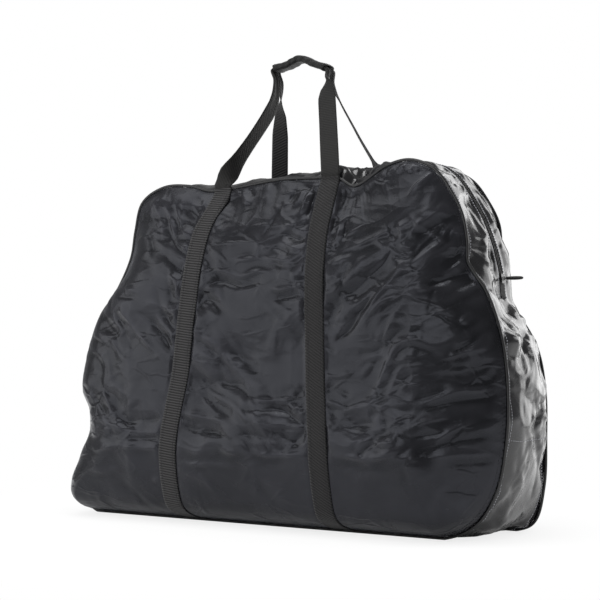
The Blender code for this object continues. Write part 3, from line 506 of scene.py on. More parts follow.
def gathers(x, z, edge, along, side):
    # short folds that leave the seam square to it, and folds that leave the straps aslant, both dying away
    form, gap = panelForm, strapGap(x, z, side)
    some = np.clip(0.3 + 0.6 * readField(noiseField(540 + side, 0.20), x, z), 0, 1.2)
    atSeam = some * np.exp(-edge / form["seamReach"]) * crumple(along, 0.22 * edge, 500 + side, form["seamWave"])
    slant = z + np.sign(x - strapMiddle(z, -1, side)) * 0.7 * gap
    atStrap = some * np.exp(-np.abs(gap) / form["strapReach"]) \
        * crumple(slant, 0.25 * gap, 520 + side, form["strapWave"])
    return form["seamGather"] * atSeam * smoothStep(edge / form["seamFade"]) + form["strapGather"] * atStrap


def offStraps(x, z, side):
    # 1 beside the straps, falling to a small share under them
    share = panelForm["underStrap"]
    return share + (1 - share) * smoothStep(strapGap(x, z, side) / panelForm["strapFade"])


def frontRelief(x, z, edge, along):
    # the front's folds: undulation, crumples that lean each way, packing creases, drawn folds and gathers
    form = panelForm
    lower = smoothStep((z - form["bandTop"]) / form["bandFade"])
    calm = 0.35 + 0.65 * lower
    patch = patchiness(x, z, 11, 0.30, 0.55, 0.08)
    relief = form["frontUndulation"] * readField(noiseField(12, 0.24, 1.5, 0.4), x, z) * calm
    right = smoothStep((x + 0.05) / 0.30)
    for seed, wave, depth in form["crumples"]:
        for share, tilt in ((1 - right, form["leftTilt"]), (right, form["rightTilt"])):
            facets = crumple(x, z, seed, wave, form["frontStretch"], tilt)
            relief += depth * patch * share * facets * (0.25 + 0.75 * lower)
    for crease in form["frontCreases"]:
        relief += creaseTurn(x, z, *crease)
    drawn = form["foldShare"] * foldField(x, z, panelFolds, 61) * smoothStep(edge / form["seamFade"])
    relief = relief * smoothStep(edge / form["rimFade"]) + drawn + gathers(x, z, edge, along, -1) * calm
    return offStraps(x, z, -1) * relief


def backRelief(x, z, edge, along):
    # the back is creased in its own way: undulation, crumples, packing creases and gathers
    form = panelForm
    free = offStraps(x, z, 1)
    patch = patchiness(x, z, 41, 0.28, 0.6, 0.1)
    relief = form["backUndulation"] * readField(noiseField(42, 0.19, 1.6, -0.5), x, z)
    for seed, wave, depth in form["crumples"]:
        facets = crumple(x, z, seed + 100, wave, form["backStretch"], form["backTilt"])
        relief += form["backShare"] * depth * patch * facets
    for crease in form["backCreases"]:
        relief += creaseTurn(x, z, *crease)
    return relief * free * smoothStep(edge / form["rimFade"]) + free * gathers(x, z, edge, along, 1)


def panelPatch(side):
    # a Coons patch over the outline: its four sides blended, less the doubled corners
    seamLine = seamLines[side]
    lowerLeft, lowerRight, upperRight, upperLeft = panelForm["corners"]
    sides = [
        seamLine[stationRange(lowerLeft, lowerRight)], seamLine[stationRange(lowerRight, upperRight)],
        seamLine[stationRange(upperRight, upperLeft)][::-1], seamLine[stationRange(upperLeft, lowerLeft)][::-1],
    ]
    counts = (panelForm["columns"], panelForm["rows"], panelForm["columns"], panelForm["rows"])
    bottom, right, top, left = [evenly(line, n) for line, n in zip(sides, counts)]
    u = np.linspace(0, 1, panelForm["columns"])[None, :, None]
    v = np.linspace(0, 1, panelForm["rows"])[:, None, None]
    return ((1 - v) * bottom[None] + v * top[None] + (1 - u) * left[:, None] + u * right[:, None]
            - (1 - u) * (1 - v) * bottom[0] - u * (1 - v) * bottom[-1]
            - (1 - u) * v * top[0] - u * v * top[-1])


# materials of the cloth

def nylonTaffeta():
    # piece-dyed nylon taffeta, calendered: near black with a cool satin sheen that every small crease breaks, its
    # base colour darkened by painted shade in fold valleys and lifted by painted highlight on fold crests
    material, add, shader = newMaterial(
        "nylonTaffeta", Specular_IOR_Level=0.30, Sheen_Weight=0.10, Sheen_Roughness=0.35,
        Specular_Tint=hexColour("#dfe3f0"), Sheen_Tint=hexColour("#aeb4c4"))
    place = (add("TexCoord"), "Object")
    wash = add("TexNoise", {"Vector": place, "Scale": 5.0, "Detail": 3.0})
    dye = add("ValToRGB", {"Fac": (wash, "Fac")}, stops=((0.35, "#151517"), (0.70, "#1e1e21")))
    # painted shade and highlight: the base colour is scaled down in fold valleys and up on fold crests
    crest = add("Attribute", attribute_name="foldTone")
    paintedShadeScale = add("MapRange", {"Value": (crest, "Fac"), **span(-1.2, 1.2, 0.65, 1.40)})
    add("VectorMath", {"Vector": (dye, "Color"), "Scale": (paintedShadeScale, "Result")},
        [("Vector", shader, "Base Color")], operation="SCALE")
    rub = add("TexNoise", {"Vector": place, "Scale": 14.0, "Detail": 4.0})
    add("MapRange", {"Value": (rub, "Fac"), **span(0.3, 0.7, 0.19, 0.29)}, [("Result", shader, "Roughness")])
    drift = add("TexNoise", {"Vector": place, "Scale": 9.0, "Detail": 2.0})
    shifted = add("VectorMath", {0: (drift, "Color"), 1: (0.05, 0.05, 0.05), 2: place}, operation="MULTIPLY_ADD")
    slanted = (add("Mapping", {
        "Vector": (shifted, "Vector"), "Rotation": (0, 0.55, 0), "Scale": (0.40, 1.0, 1.0)}), "Vector")
    facets = add("TexVoronoi", {"Vector": slanted, "Scale": 26.0})  # facets of about 40 mm
    rumple = add("Bump", {"Height": (facets, "Distance"), "Strength": 0.75, "Distance": 0.0024})
    edges = add("TexVoronoi", {"Vector": slanted, "Scale": 21.0}, feature="DISTANCE_TO_EDGE")
    thin = add("MapRange", {"Value": (edges, "Distance"), **span(0.0, 0.11, 1.0, 0.0)},
               interpolation_type="SMOOTHSTEP")
    patches = add("MapRange", {"Value": (drift, "Fac"), **span(0.45, 0.60, 0.0, 1.0)})
    fine = add("Math", {0: (thin, "Result"), 1: (patches, "Result")}, operation="MULTIPLY")
    creased = add("Bump", {
        "Height": (fine, "Value"), "Normal": (rumple, "Normal"), "Strength": 0.8, "Distance": 0.0011})
    slubs = add("TexNoise", {  # 3 mm, the yarns' unevenness drawn coarser than real
        "Vector": place, "Scale": 330.0, "Detail": 2.0, "Roughness": 0.6})
    add("Bump", {"Height": (slubs, "Fac"), "Normal": (creased, "Normal"), "Strength": 0.22, "Distance": 0.0008},
        [("Normal", shader, "Normal")])
    return material


def coatedNylon():
    # nylon with a glossy polyurethane coat: deep black, hard reflections, fine rumples under the film
    material, add, shader = newMaterial(
        "coatedNylon", Specular_IOR_Level=0.4, Coat_Weight=0.65, Coat_Roughness=0.13, Coat_IOR=1.45)
    place = (add("TexCoord"), "Object")
    wash = add("TexNoise", {"Vector": place, "Scale": 9.0, "Detail": 3.0})
    add("ValToRGB", {"Fac": (wash, "Fac")}, [("Color", shader, "Base Color")], ((0.0, "#0d0d0f"), (1.0, "#17171a")))
    film = add("TexNoise", {"Vector": place, "Scale": 30.0, "Detail": 3.0})
    add("MapRange", {"Value": (film, "Fac"), **span(0.3, 0.7, 0.20, 0.34)}, [("Result", shader, "Roughness")])
    creases = add("TexNoise", {
        "Vector": place, "Scale": 18.0, "Detail": 3.0, "Roughness": 0.5, "Distortion": 0.8},
        noise_type="RIDGED_MULTIFRACTAL")
    add("Bump", {"Height": (creases, "Fac"), "Strength": 0.22, "Distance": 0.0012},
        [("Normal", shader, "Normal"), ("Normal", shader, "Coat Normal")])
    return material


panelNylon = nylonTaffeta()
gussetNylon = coatedNylon()


def paintedFoldShading(folds):
    # how far each place stands over the mean of its surroundings, in millimetres: painted highlight on crests,
    # painted shade in valleys
    mean = folds
    for axis in (0, 1):
        total = np.cumsum(np.pad(mean, [(6, 5) if k == axis else (0, 0) for k in (0, 1)], mode="edge"), axis=axis)
        last = total.shape[axis]
        mean = (total.take(np.arange(11, last), axis) - total.take(np.arange(last - 11), axis)) / 11
    return np.clip((folds - mean) * 1000, -1.5, 1.5)


def buildPanel(name, node, side, relief):
    # the panel stands out from its seam plane by the dome and the relief
    patch = panelPatch(side)
    x, z = patch[..., 0], patch[..., 1]
    edge, along = nearestSeam(x, z, side)
    folds = relief(x, z, edge, along)
    points = atDepth(patch, side * (halfGusset + domeDepth(x, z, edge) + folds))
    piece = newPiece(name, points, gridFaces(*x.shape), panelNylon, patch, side > 0)
    # the folds' height over their surroundings, kept for the painted shade in valleys and the painted highlight on
    # crests
    paintedShadeLayer = piece.data.attributes.new("foldTone", "FLOAT", "POINT")
    paintedShadeLayer.data.foreach_set("value", paintedFoldShading(folds).astype(np.float32).ravel())
    settle(piece, "bag", "panel_nylon", node)


buildPanel("frontPanelCloth", "front_panel", -1, frontRelief)
buildPanel("backPanelCloth", "back_panel", 1, backRelief)
print("side panels made")


# the gusset

gussetForm = {
    "dipX": 0.195, "dipGrowth": 1.3, "dipWidth": 0.07,  # the dip beside the lobe is creased the most
    "rightSeam": 5, "zipStart": 9, "zipEnd": 28, "leftSeam": 32, "zipOpening": 0.024,
    "undulation": 0.0024, "crumples": ((400, 0.110, 0.0016), (410, 0.050, 0.0008), (420, 0.026, 0.0003)),
    "stretch": 1.3, "tilt": 0.8, "foldShare": 0.8, "seamFade": 0.012, "zipFade": 0.016,
    "baseEnds": (0.38, 0.48, 0.62, 0.50),  # the flat base: metres from the table's start, and back from its end
    "folds": (  # from (table point, y) to (table point, y), width, height, bow, in mm but the points
        (11.3, -105, 11.5, -20, 9, 4.5, 3), (10.85, -100, 10.8, -10, 7, -5.0, -2),
        (10.6, -105, 10.5, -30, 6, 3.0, 2), (10.3, -90, 10.2, 0, 8, -3.5, 2), (12.6, -70, 11.6, -60, 6, 2.5, 3),
        (12.9, -50, 11.9, -35, 6, -2.5, -3), (9.6, -60, 8.2, -20, 8, 4.0, 4), (9.5, -30, 7.9, 12, 9, -4.5, 3),
        (9.3, 10, 7.7, 50, 9, 3.5, 4), (9.2, 50, 8.0, 85, 8, -3.0, 3), (9.0, -85, 7.4, -45, 9, -3.5, 3),
        (8.4, -50, 6.6, 20, 12, 4.0, 6), (7.6, -80, 6.4, -50, 9, 3.0, 3), (7.2, 20, 6.0, 60, 10, -3.5, 3),
        (6.6, 75, 5.5, 70, 6, 3.0, 2), (6.4, -30, 5.4, -60, 12, -3.0, 4), (4.9, -60, 4.0, -20, 10, 3.0, 4),
        (4.8, 30, 3.8, 60, 10, -3.0, -4), (14.4, 30, 13.0, 60, 7, 2.5, 3), (13.4, 40, 12.0, 75, 7, -2.5, 2),
        (12.3, 30, 11.2, 80, 8, 3.0, 2), (15.8, -80, 14.6, -40, 8, 2.0, 3),
    ),
}


def crownRise(y):
    # 1 over the middle, falling as a square to 0 at the flat strip beside the seam
    share = np.abs(y) / halfGusset
    slope = (share - bagForm["plateauShare"]) / (bagForm["edgeShare"] - bagForm["plateauShare"])
    return 1 - np.clip(slope, 0, 1) ** 2


def lengthAt(point):
    # how far round the seam a table point lies
    return float(np.interp(point, np.append(stationPoint, pointCount), np.append(seamLength, seamTotal)))


gussetFolds = [
    (lengthAt(a), b / 1000, lengthAt(c), d / 1000, width, height, bow)
    for a, b, c, d, width, height, bow in gussetForm["folds"]
]
dipPlace = seamLength[np.argmin(np.abs(crownLine[:, 0] - gussetForm["dipX"]) + (crownLine[:, 1] < 0.5))]


def gussetRelief(s, y):
    # folds across and along the strip; they grow in the dip, and flatten at the base, at the seams
    # and beside the zip
    form = gussetForm
    patch = patchiness(s, y, 51, 0.26, 0.7, 0.15)
    relief = form["undulation"] * readField(noiseField(52, 0.10, 1.8, 1.2), s, y)
    for seed, wave, depth in form["crumples"]:
        relief += depth * patch * crumple(s, y, seed, wave, form["stretch"], form["tilt"])
    relief += form["foldShare"] * foldField(s, y, gussetFolds, 63)
    a, b, c, d = form["baseEnds"]
    base = np.interp(s, [0, a, b, seamTotal - c, seamTotal - d, seamTotal], [0, 0, 1, 1, 0, 0])
    base = base * (1 + form["dipGrowth"] * np.exp(-((s - dipPlace) / form["dipWidth"]) ** 2))
    onZip = (s > lengthAt(form["zipStart"])) & (s < lengthAt(form["zipEnd"]))
    besideZip = np.where(onZip, smoothStep((np.abs(y) - form["zipOpening"] / 2) / form["zipFade"]), 1.0)
    return relief * base * besideZip * smoothStep((halfGusset - np.abs(y)) / form["seamFade"])


def gussetGrid(stations, across, offset=0.0, relief=True):
    # seam line plus its rise to the crown line, moved along the outward normal by offset and relief
    s, y = np.broadcast_arrays(seamLength[stations][:, None], np.asarray(across, float)[None])
    rise = crownRise(y)[..., None]
    edgeLine, edgeNormal = [
        np.where((y > 0)[..., None], pair[1][stations][:, None], pair[-1][stations][:, None])
        for pair in (seamLines, seamNormals)
    ]
    line = edgeLine + (crownLine[stations][:, None] - edgeLine) * rise
    normal = unit(edgeNormal * (1 - rise) + crownNormals[stations][:, None] * rise)
    lift = offset + (gussetRelief(s, y) if relief else np.zeros(y.shape))
    line = line + normal * lift[..., None]
    line[..., 1] = np.maximum(line[..., 1], bagForm["crownLift"] + offset)
    points = atDepth(line, y)
    return points, joined(y, runOf(points[:, 0])[:, None])


rightSeam, zipStart, zipEnd, leftSeam = [
    gussetForm[key] for key in ("rightSeam", "zipStart", "zipEnd", "leftSeam")
]
fullWidth = np.linspace(-halfGusset, halfGusset, 56)
frontHalf = np.linspace(-halfGusset, -gussetForm["zipOpening"] / 2, 28)
for name, node, first, last, across, flat in (  # flat: width and length laid out
    ("bottomGussetCloth", "bottom_gusset", leftSeam, rightSeam, fullWidth, (0.230, 1.52)),
    ("rightGussetCloth", "right_side_gusset", rightSeam, zipStart, fullWidth, (0.230, 0.39)),
    ("leftGussetCloth", "left_side_gusset", zipEnd, leftSeam, fullWidth, (0.230, 0.38)),
    ("topGussetFrontCloth", "top_gusset_front", zipStart, zipEnd, frontHalf, (0.103, 1.50)),
    ("topGussetBackCloth", "top_gusset_back", zipStart, zipEnd, -frontHalf[::-1], (0.103, 1.50)),
):
    points, uv = gussetGrid(stationRange(first, last), across)
    piece = newPiece(name, points, gridFaces(*points.shape[:2]), gussetNylon, uv)
    settle(piece, "bag", "coated_nylon", node)
print("gusset made")


# piping, bindings and stitching

trimForm = {
    "pipingSides": 10, "bindingWidth": 0.012, "bindingThickness": 0.0016, "bindingInset": 0.0024,
    "bindingGap": 0.0006, "stitchPitch": 0.0066, "stitchLength": 0.0040, "stitchWidth": 0.0018,
    "stitchHeight": 0.0010, "gussetInset": 0.0160, "panelInset": 0.0050,
}


def plainMaterial(name, dark, light, rough, grainScale, grainStrength, **sockets):
    # a moulded or extruded finish: a faint grain in its colour, its gloss and its surface
    material, add, shader = newMaterial(name, **sockets)
    grain = add("TexNoise", {"Vector": (add("TexCoord"), "Object"), "Scale": grainScale, "Detail": 4.0})
    add("ValToRGB", {"Fac": (grain, "Fac")}, [("Color", shader, "Base Color")], ((0.3, dark), (0.7, light)))
    add("MapRange", {"Value": (grain, "Fac"), **span(0.3, 0.7, rough - 0.05, rough + 0.06)},
        [("Result", shader, "Roughness")])
    add("Bump", {"Height": (grain, "Fac"), "Strength": grainStrength, "Distance": 0.0004},
        [("Normal", shader, "Normal")])
    return material


pipingVinyl = plainMaterial("pipingVinyl", "#0f0f10", "#1b1b1d", 0.34, 260.0, 0.15, Specular_IOR_Level=0.4)
stitchThread = plainMaterial("stitchThread", "#8a8b91", "#b4b5bb", 0.55, 900.0, 0.20, Specular_IOR_Level=0.4)
darkThread = plainMaterial("darkThread", "#17171a", "#26262a", 0.60, 900.0, 0.20, Specular_IOR_Level=0.3)
bindingTwill = plainMaterial("bindingTwill", "#0c0c0d", "#171718", 0.80, 700.0, 0.35, Specular_IOR_Level=0.25)


def tube(path, normals, radius, sides):
    # a round cord on a closed front-view line: circles spanned by the line's normal and the Y axis
    turn = np.linspace(0, 2 * math.pi, sides, endpoint=False)
    circle = atDepth(np.cos(turn)[None, :, None] * normals[:, None], np.sin(turn)[None])
    return path[:, None] + circle * radius


def stitchRow(name, path, outward, material, body, slotName):
    # dashes along a line: each a small faceted bar with drawn-in ends
    run = runOf(path)
    places = np.arange(trimForm["stitchPitch"] / 2, run[-1], trimForm["stitchPitch"])
    centre, out = readAlong(path, run, places), readAlong(outward, run, places)
    ahead = unit(readAlong(path, run, places + 0.001) - readAlong(path, run, places - 0.001))
    out = unit(out - ahead * (out * ahead).sum(axis=1)[:, None])
    side = np.cross(ahead, out)
    half, width, height = trimForm["stitchLength"] / 2, trimForm["stitchWidth"] / 2, trimForm["stitchHeight"]
    shape = np.array([
        (t * half, w * width * k, h * height * k)
        for t, k in ((-1, 0.45), (-0.45, 1.0), (0.45, 1.0), (1, 0.45)) for w, h in ((1, -0.6), (0, 1), (-1, -0.6))
    ])
    points = centre[:, None] + ahead[:, None] * shape[None, :, :1] + side[:, None] * shape[None, :, 1:2] \
        + out[:, None] * shape[None, :, 2:]
    quads = gridFaces(4, 3, False, True)
    triangles = np.vstack([quads[:, [0, 1, 2]], quads[:, [0, 2, 3]], [(0, 1, 2), (11, 10, 9)]])
    every = (triangles[None] + 12 * np.arange(len(places))[:, None, None]).reshape(-1, 3)
    settle(newPiece(name, points, every, material), body, slotName)


ring = np.append(np.arange(stationCount), 0)
for face, side in (("front", -1), ("back", 1)):
    radius = bagForm["pipingRadius"]
    seamLine, normals = seamLines[side], seamNormals[side]
    path = atDepth(seamLine + normals * (radius + bagForm["fitGap"]), side * halfGusset)
    points = tube(path, normals, radius, trimForm["pipingSides"])
    faces = gridFaces(stationCount, trimForm["pipingSides"], True, True)
    settle(newPiece(f"{face}PipingCord", points, faces, pipingVinyl), "bag", "piping", f"{face}_piping")

    inner, thin = seamLine - normals * trimForm["bindingInset"], normals * trimForm["bindingThickness"]
    near, far = side * (halfGusset - trimForm["bindingGap"]), side * (halfGusset - trimForm["bindingWidth"])
    corners = ((inner, near), (inner, (near + far) / 2), (inner, far), (inner - thin, far), (inner - thin, near))
    points = np.stack([atDepth(line, y) for line, y in corners], axis=1)
    faces = gridFaces(stationCount, len(corners), True, True)
    piece = newPiece(f"{face}SeamBinding", points, faces, bindingTwill, flip=side > 0)
    settle(piece, "bag", "binding", f"{face}_seam_binding")

    grid, _ = gussetGrid(ring, [side * (halfGusset - trimForm["gussetInset"])], 0.0006)
    stitchRow(f"{face}GussetStitches", grid[:, 0], atDepth(normals[ring], 0), stitchThread, "bag", "piping")
    inset = seamLine[ring] - normals[ring] * trimForm["panelInset"]
    deep = domeDepth(inset[:, 0], inset[:, 1], np.full(len(ring), trimForm["panelInset"]))
    path = atDepth(inset, side * (halfGusset + deep + 0.0003))
    stitchRow(f"{face}PanelStitches", path, atDepth(normals[ring], side * 0.9), darkThread, "bag", "piping")
print("piping and stitching made")

zipEdgeRange = stationRange(zipStart, zipEnd)
for face, side in (("Front", -1), ("Back", 1)):
    grid, _ = gussetGrid(zipEdgeRange, [side * (gussetForm["zipOpening"] / 2 + 0.0035)], 0.0002)
    outward = atDepth(crownNormals[zipEdgeRange], 0)
    stitchRow(f"zipStitches{face}", grid[:, 0], outward, stitchThread, "bag", "zip_tape")
for name, point in (("crossSeamRightRow", rightSeam), ("crossSeamLeftRow", leftSeam)):
    station = np.array([stationOf(point)])
    grid, _ = gussetGrid(station, np.linspace(-halfGusset + 0.006, halfGusset - 0.006, 60), 0.0004)
    outward = np.repeat(atDepth(crownNormals[station], 0), 60, axis=0)
    stitchRow(name, grid[0], outward, stitchThread, "bag", "coated_nylon")


# the zip

zipForm = {"tapeInner": 0.0015, "tapeOuter": 0.020, "tapeOffset": -0.0024, "coilWidth": 0.004, "coilHeight": 0.003,
           "coilMiddle": -0.00085, "coilPitch": 0.0026, "tabLength": 0.020, "tabHeight": 0.0012,
           "tapeThickness": 0.0006, "tabThickness": 0.0022,
           "closing": 0.0013, "openEnd": 0.43, "closingRun": 0.03}


def zipClosing(x):
    # how far each side comes in to meet the other: nothing on the slider's way, then all of it
    return zipForm["closing"] * smoothStep((zipForm["openEnd"] - x) / zipForm["closingRun"])


def ribbedCloth(name, dark, light, pitch, slant, rough, depth):
    # woven ribs across a narrow tape: UV metres turned into bands of one pitch, with the yarns' own grain
    material, add, shader = newMaterial(name, Specular_IOR_Level=0.22, Sheen_Weight=0.08, Sheen_Roughness=0.5)
    place = (add("TexCoord"), "UV")
    turned = add("Mapping", {"Vector": place, "Rotation": (0, 0, slant)})
    ribs = add("TexWave", {
        "Vector": (turned, "Vector"), "Scale": math.pi / (10 * pitch), "Distortion": 0.35, "Detail": 1.0,
        "Detail Scale": 2.0}, bands_direction="Y", wave_profile="SIN")
    yarn = add("TexNoise", {"Vector": place, "Scale": 420.0, "Detail": 2.0})
    mixed = add("Mix", {"Factor": 0.35, 2: (ribs, "Fac"), 3: (yarn, "Fac")}, data_type="FLOAT")
    add("ValToRGB", {"Fac": (mixed, 0)}, [("Color", shader, "Base Color")], ((0.3, dark), (0.7, light)))
    add("MapRange", {"Value": (yarn, "Fac"), **span(0.3, 0.7, rough - 0.08, rough + 0.08)},
        [("Result", shader, "Roughness")])
    add("Bump", {"Height": (mixed, 0), "Strength": 0.8, "Distance": depth}, [("Normal", shader, "Normal")])
    return material


zipTapeCloth = ribbedCloth("zipTapeCloth", "#0a0a0b", "#161617", 0.0016, 0.0, 0.75, 0.0002)
coilNylon = plainMaterial("coilNylon", "#0b0b0c", "#141416", 0.32, 300.0, 0.10, Specular_IOR_Level=0.5)

for face, node, side in (("Front", "front", -1), ("Back", "back", 1)):
    across = side * np.linspace(zipForm["tapeInner"], zipForm["tapeOuter"], 8)
    points, uv = gussetGrid(zipEdgeRange, across, zipForm["tapeOffset"], False)
    points[..., 1] -= side * zipClosing(points[..., 0]) * np.linspace(1, 0, len(across))
    tape = newPiece(f"zipTape{face}", points, gridFaces(*points.shape[:2]), zipTapeCloth, uv, side < 0)
    thicken(tape, zipForm["tapeThickness"], -1)
    settle(tape, "bag", "zip_tape", f"zip_tape_{node}")

    # the coil is a closed tube along the crown whose section swells once in every pitch
    crown = evenly(crownLine[zipEdgeRange], 4000)
    run = runOf(crown)
    turns = int((run[-1] - 2 * zipForm["tabLength"]) / zipForm["coilPitch"])
    first = zipForm["tabLength"] + 0.0006
    line = readAlong(crown, run, np.linspace(first, run[-1] - first, turns * 4))
    ahead = unit(np.gradient(line, axis=0))
    normal = np.column_stack([ahead[:, 1], -ahead[:, 0]])
    swell = (0.84 + 0.16 * np.cos(2 * math.pi * (np.arange(len(line)) + side) / 4))[:, None]
    turn = np.linspace(0, 2 * math.pi, 8, endpoint=False)[None]
    up = zipForm["coilMiddle"] + np.sin(turn) * swell * zipForm["coilHeight"] / 2
    y = side * (zipForm["tapeInner"] + zipForm["coilWidth"] / 2 - zipClosing(line[:, :1])) \
        + np.cos(turn) * swell * zipForm["coilWidth"] / 2
    points = atDepth(line[:, None] + normal[:, None] * up[..., None], y)
    coil = newPiece(f"zipCoil{face}", points, gridFaces(len(line), 8, False, True), coilNylon)
    settle(coil, "bag", "zip_coil", f"zip_coil_{node}")

tabStations = {"Right": zipEdgeRange[:5], "Left": zipEdgeRange[-5:]}
for hand, stations in tabStations.items():
    across = np.linspace(-gussetForm["zipOpening"] / 2 + 0.0003, gussetForm["zipOpening"] / 2 - 0.0003, 13)
    points, uv = gussetGrid(stations, across, zipForm["tabHeight"], False)
    tab = newPiece(f"zipEndTab{hand}", points, gridFaces(*points.shape[:2]), zipTapeCloth, uv)
    thicken(tab, zipForm["tabThickness"], -1)
    settle(tab, "bag", "zip_tape", f"zip_end_tab_{hand.lower()}")
print("zip made")


# webbing

webbingForm = {"width": bagForm["webbingWidth"], "thickness": 0.002, "rows": 300, "columns": 13,
               "ribPitch": 0.0062,  # ribs of 4 mm drawn coarser
               "evening": 0.2, "standOff": 0.0009, "crown": 0.0006, "leastDepth": 0.0040, "wall": 0.0017,
               "settling": 0.10}
strapWebbing = ribbedCloth("strapWebbing", "#020202", "#333233", webbingForm["ribPitch"], 0.12, 0.58, 0.0020)
twillWebbing = ribbedCloth("twillWebbing", "#060606", "#1d1c1d", webbingForm["ribPitch"], 0.55, 0.60, 0.0016)
plainWebbing = ribbedCloth("plainWebbing", "#0a0a09", "#151413", webbingForm["ribPitch"], 0.55, 0.64, 0.0005)


def seamTop(x):
    # the height of the seam's upper side at a place along the bag
    upper = seamLines[-1][stationRange(14, zipEnd - 2)][::-1]
    return float(np.interp(x, upper[:, 0], upper[:, 1]))


def handleBase(hand, side):
    # where a handle leaves its strap, just over the piping
    share = bagForm["strapCentre"] + hand * np.interp(1.0, *np.array(bagForm["strapByHeight"]).T)
    x = float(share + bagForm["strapLean"][side][-1][1]) * bagForm["length"]
    y = halfGusset + bagForm["pipingRadius"] + bagForm["fitGap"] + webbingForm["thickness"] / 2
    highest = max(seamTop(x + shift * webbingForm["width"]) for shift in (-0.5, 0.0, 0.5))
    return np.array([x, side * y, highest + 0.0045])


def buildStrap(name, node, hand, side, relief, material):
    # webbing laid on the panel: it follows the dome and the folds, evened a little over its width, and
    # stands off the cloth
    form, base = webbingForm, handleBase(hand, side)
    z = np.linspace(bagForm["seamLift"] + 0.002, base[2], form["rows"])[:, None]
    share = np.linspace(-0.5, 0.5, form["columns"])[None, :]
    settled = smoothStep((z - base[2] + form["settling"]) / form["settling"])
    middle = strapMiddle(z, hand, side) * (1 - settled) + base[0] * settled
    x, z, middle = np.broadcast_arrays(middle + share * form["width"], z, middle)
    edge, along = nearestSeam(x, np.minimum(z, seamTop(base[0]) - 0.0005), side)
    folds = (1 - form["evening"]) * relief(x, z, edge, along)
    depth = domeDepth(x, z, edge) + folds + form["evening"] * relief(middle, z, edge, along)
    crown = form["crown"] * (1 - (2 * share) ** 2)
    out = halfGusset + np.maximum(depth + form["standOff"] + crown, form["leastDepth"])
    points = joined(x, side * out, z)
    uv = joined(share * form["width"], runOf(points[:, 6])[:, None])
    strap = newPiece(name, points, gridFaces(*x.shape), material, uv, side > 0)
    thicken(strap, form["wall"], 1)
    settle(strap, "bag", "webbing", node)
    for row, at in (("Inner", 2), ("Outer", -3)):
        path = points[8:-4, at].copy()
        path[:, 1] += side * 0.0018
        outward = np.repeat(np.array([[0.0, float(side), 0.0]]), len(path), axis=0)
        stitchRow(f"{name}Stitches{row}", path, outward, darkThread, "bag", "webbing")


buildStrap("frontLeftStrap", "front_left_strap", -1, -1, frontRelief, strapWebbing)
buildStrap("frontRightStrap", "front_right_strap", 1, -1, frontRelief, twillWebbing)
buildStrap("backLeftStrap", "back_left_strap", -1, 1, backRelief, strapWebbing)
buildStrap("backRightStrap", "back_right_strap", 1, 1, backRelief, twillWebbing)

for name, node, hand in (
    ("bottomLeftStrap", "bottom_left_strap", -1), ("bottomRightStrap", "bottom_right_strap", 1)
):
    middle = float(strapMiddle(np.array([0.0]), hand, -1)[0])
    x = (middle + np.linspace(-0.5, 0.5, 9) * webbingForm["width"])[None, :]
    y = np.linspace(-0.1023, 0.1023, 60)[:, None]
    z = bagForm["seamLift"] + (bagForm["crownLift"] - bagForm["seamLift"]) * crownRise(y) - bagForm["fitGap"]
    points = joined(x, y, z)
    uv = joined(points[..., 0] - middle, points[..., 1])
    strap = newPiece(name, points, gridFaces(60, 9), strapWebbing, uv, True)
    thicken(strap, webbingForm["thickness"], 1)
    settle(strap, "bag", "webbing", node)
print("straps made")


# handles

handleForm = {
    "gripHeight": 1.135, "gripRise": 0.026, "gripLength": 0.160, "gripCentre": 0.003,
    "gripShares": ((-0.50, -0.32), (-0.25, 0.05), (0.00, 0.50), (0.25, -0.15), (0.50, -0.85)),
    "shoulderDrop": 0.030, "gatheredWidth": 0.020, "gatheredThickness": 0.005,
    "split": 0.0012, "root": 0.009, "samples": 14,
    "spread": {(-1, -1): -0.014, (1, -1): 0.004, (-1, 1): 0.000, (1, 1): -0.006},  # by hand and side
    "bend": {(-1, -1): (0.77, 0.029), (1, -1): (0.50, 0.000), (-1, 1): (0.50, 0.000), (1, 1): (0.50, -0.002)},
    "turn": {
        -1: ((0.00, 0.00, 0.0), (0.02, 0.00, 0.0), (0.06, 0.30, 0.0), (0.10, 0.44, 0.0), (0.16, 0.48, 0.0),
             (0.27, 0.49, 0.0), (0.33, 0.50, 0.6), (0.37, 0.50, 1.0), (0.64, 0.50, 1.0), (0.66, 0.60, 0.8),
             (0.68, 0.86, 0.2), (0.72, 0.98, 0.0), (1.00, 1.00, 0.0)),
        1: ((0.00, 0.00, 0.0), (0.20, 0.03, 0.0), (0.27, 0.14, 0.05), (0.32, 0.34, 0.4), (0.36, 0.47, 0.85),
            (0.38, 0.50, 1.0), (0.64, 0.50, 1.0), (0.67, 0.44, 0.8), (0.72, 0.33, 0.25), (0.80, 0.32, 0.05),
            (0.92, 0.30, 0.0), (0.975, 0.08, 0.0), (1.00, 0.00, 0.0)),
    },
}


def gripLine(y):
    # the grip's middle line at a place across it
    return [np.array([handleForm["gripCentre"] + handleForm["gripLength"] * a, y,
                      handleForm["gripHeight"] + handleForm["gripRise"] * b]) for a, b in handleForm["gripShares"]]


def handlePath(side):
    # base, root, leg and shoulder on the left, the grip's line, and the same on the right, as one spline
    y = side * (handleForm["gatheredWidth"] + handleForm["split"]) / 2
    grip = gripLine(y)
    legs = []
    for hand, end in ((-1, grip[0]), (1, grip[-1])):
        base = handleBase(hand, side)
        shoulder = end + np.array([hand * handleForm["spread"][hand, side], 0, -handleForm["shoulderDrop"]])
        shoulder[1] += (base[1] - y) * handleForm["shoulderDrop"] / (end[2] - base[2])
        root = base + np.array([0, 0, handleForm["root"]])
        share, bow = handleForm["bend"][hand, side]
        bend = base + (shoulder - base) * share + np.array([bow, 0, 0])
        legs.append([base, root, bend, shoulder])
    path = openLine([*legs[0], *grip, *legs[1][::-1]], handleForm["samples"])
    path[:, 1] = side * np.maximum(side * path[:, 1], abs(y))
    return path


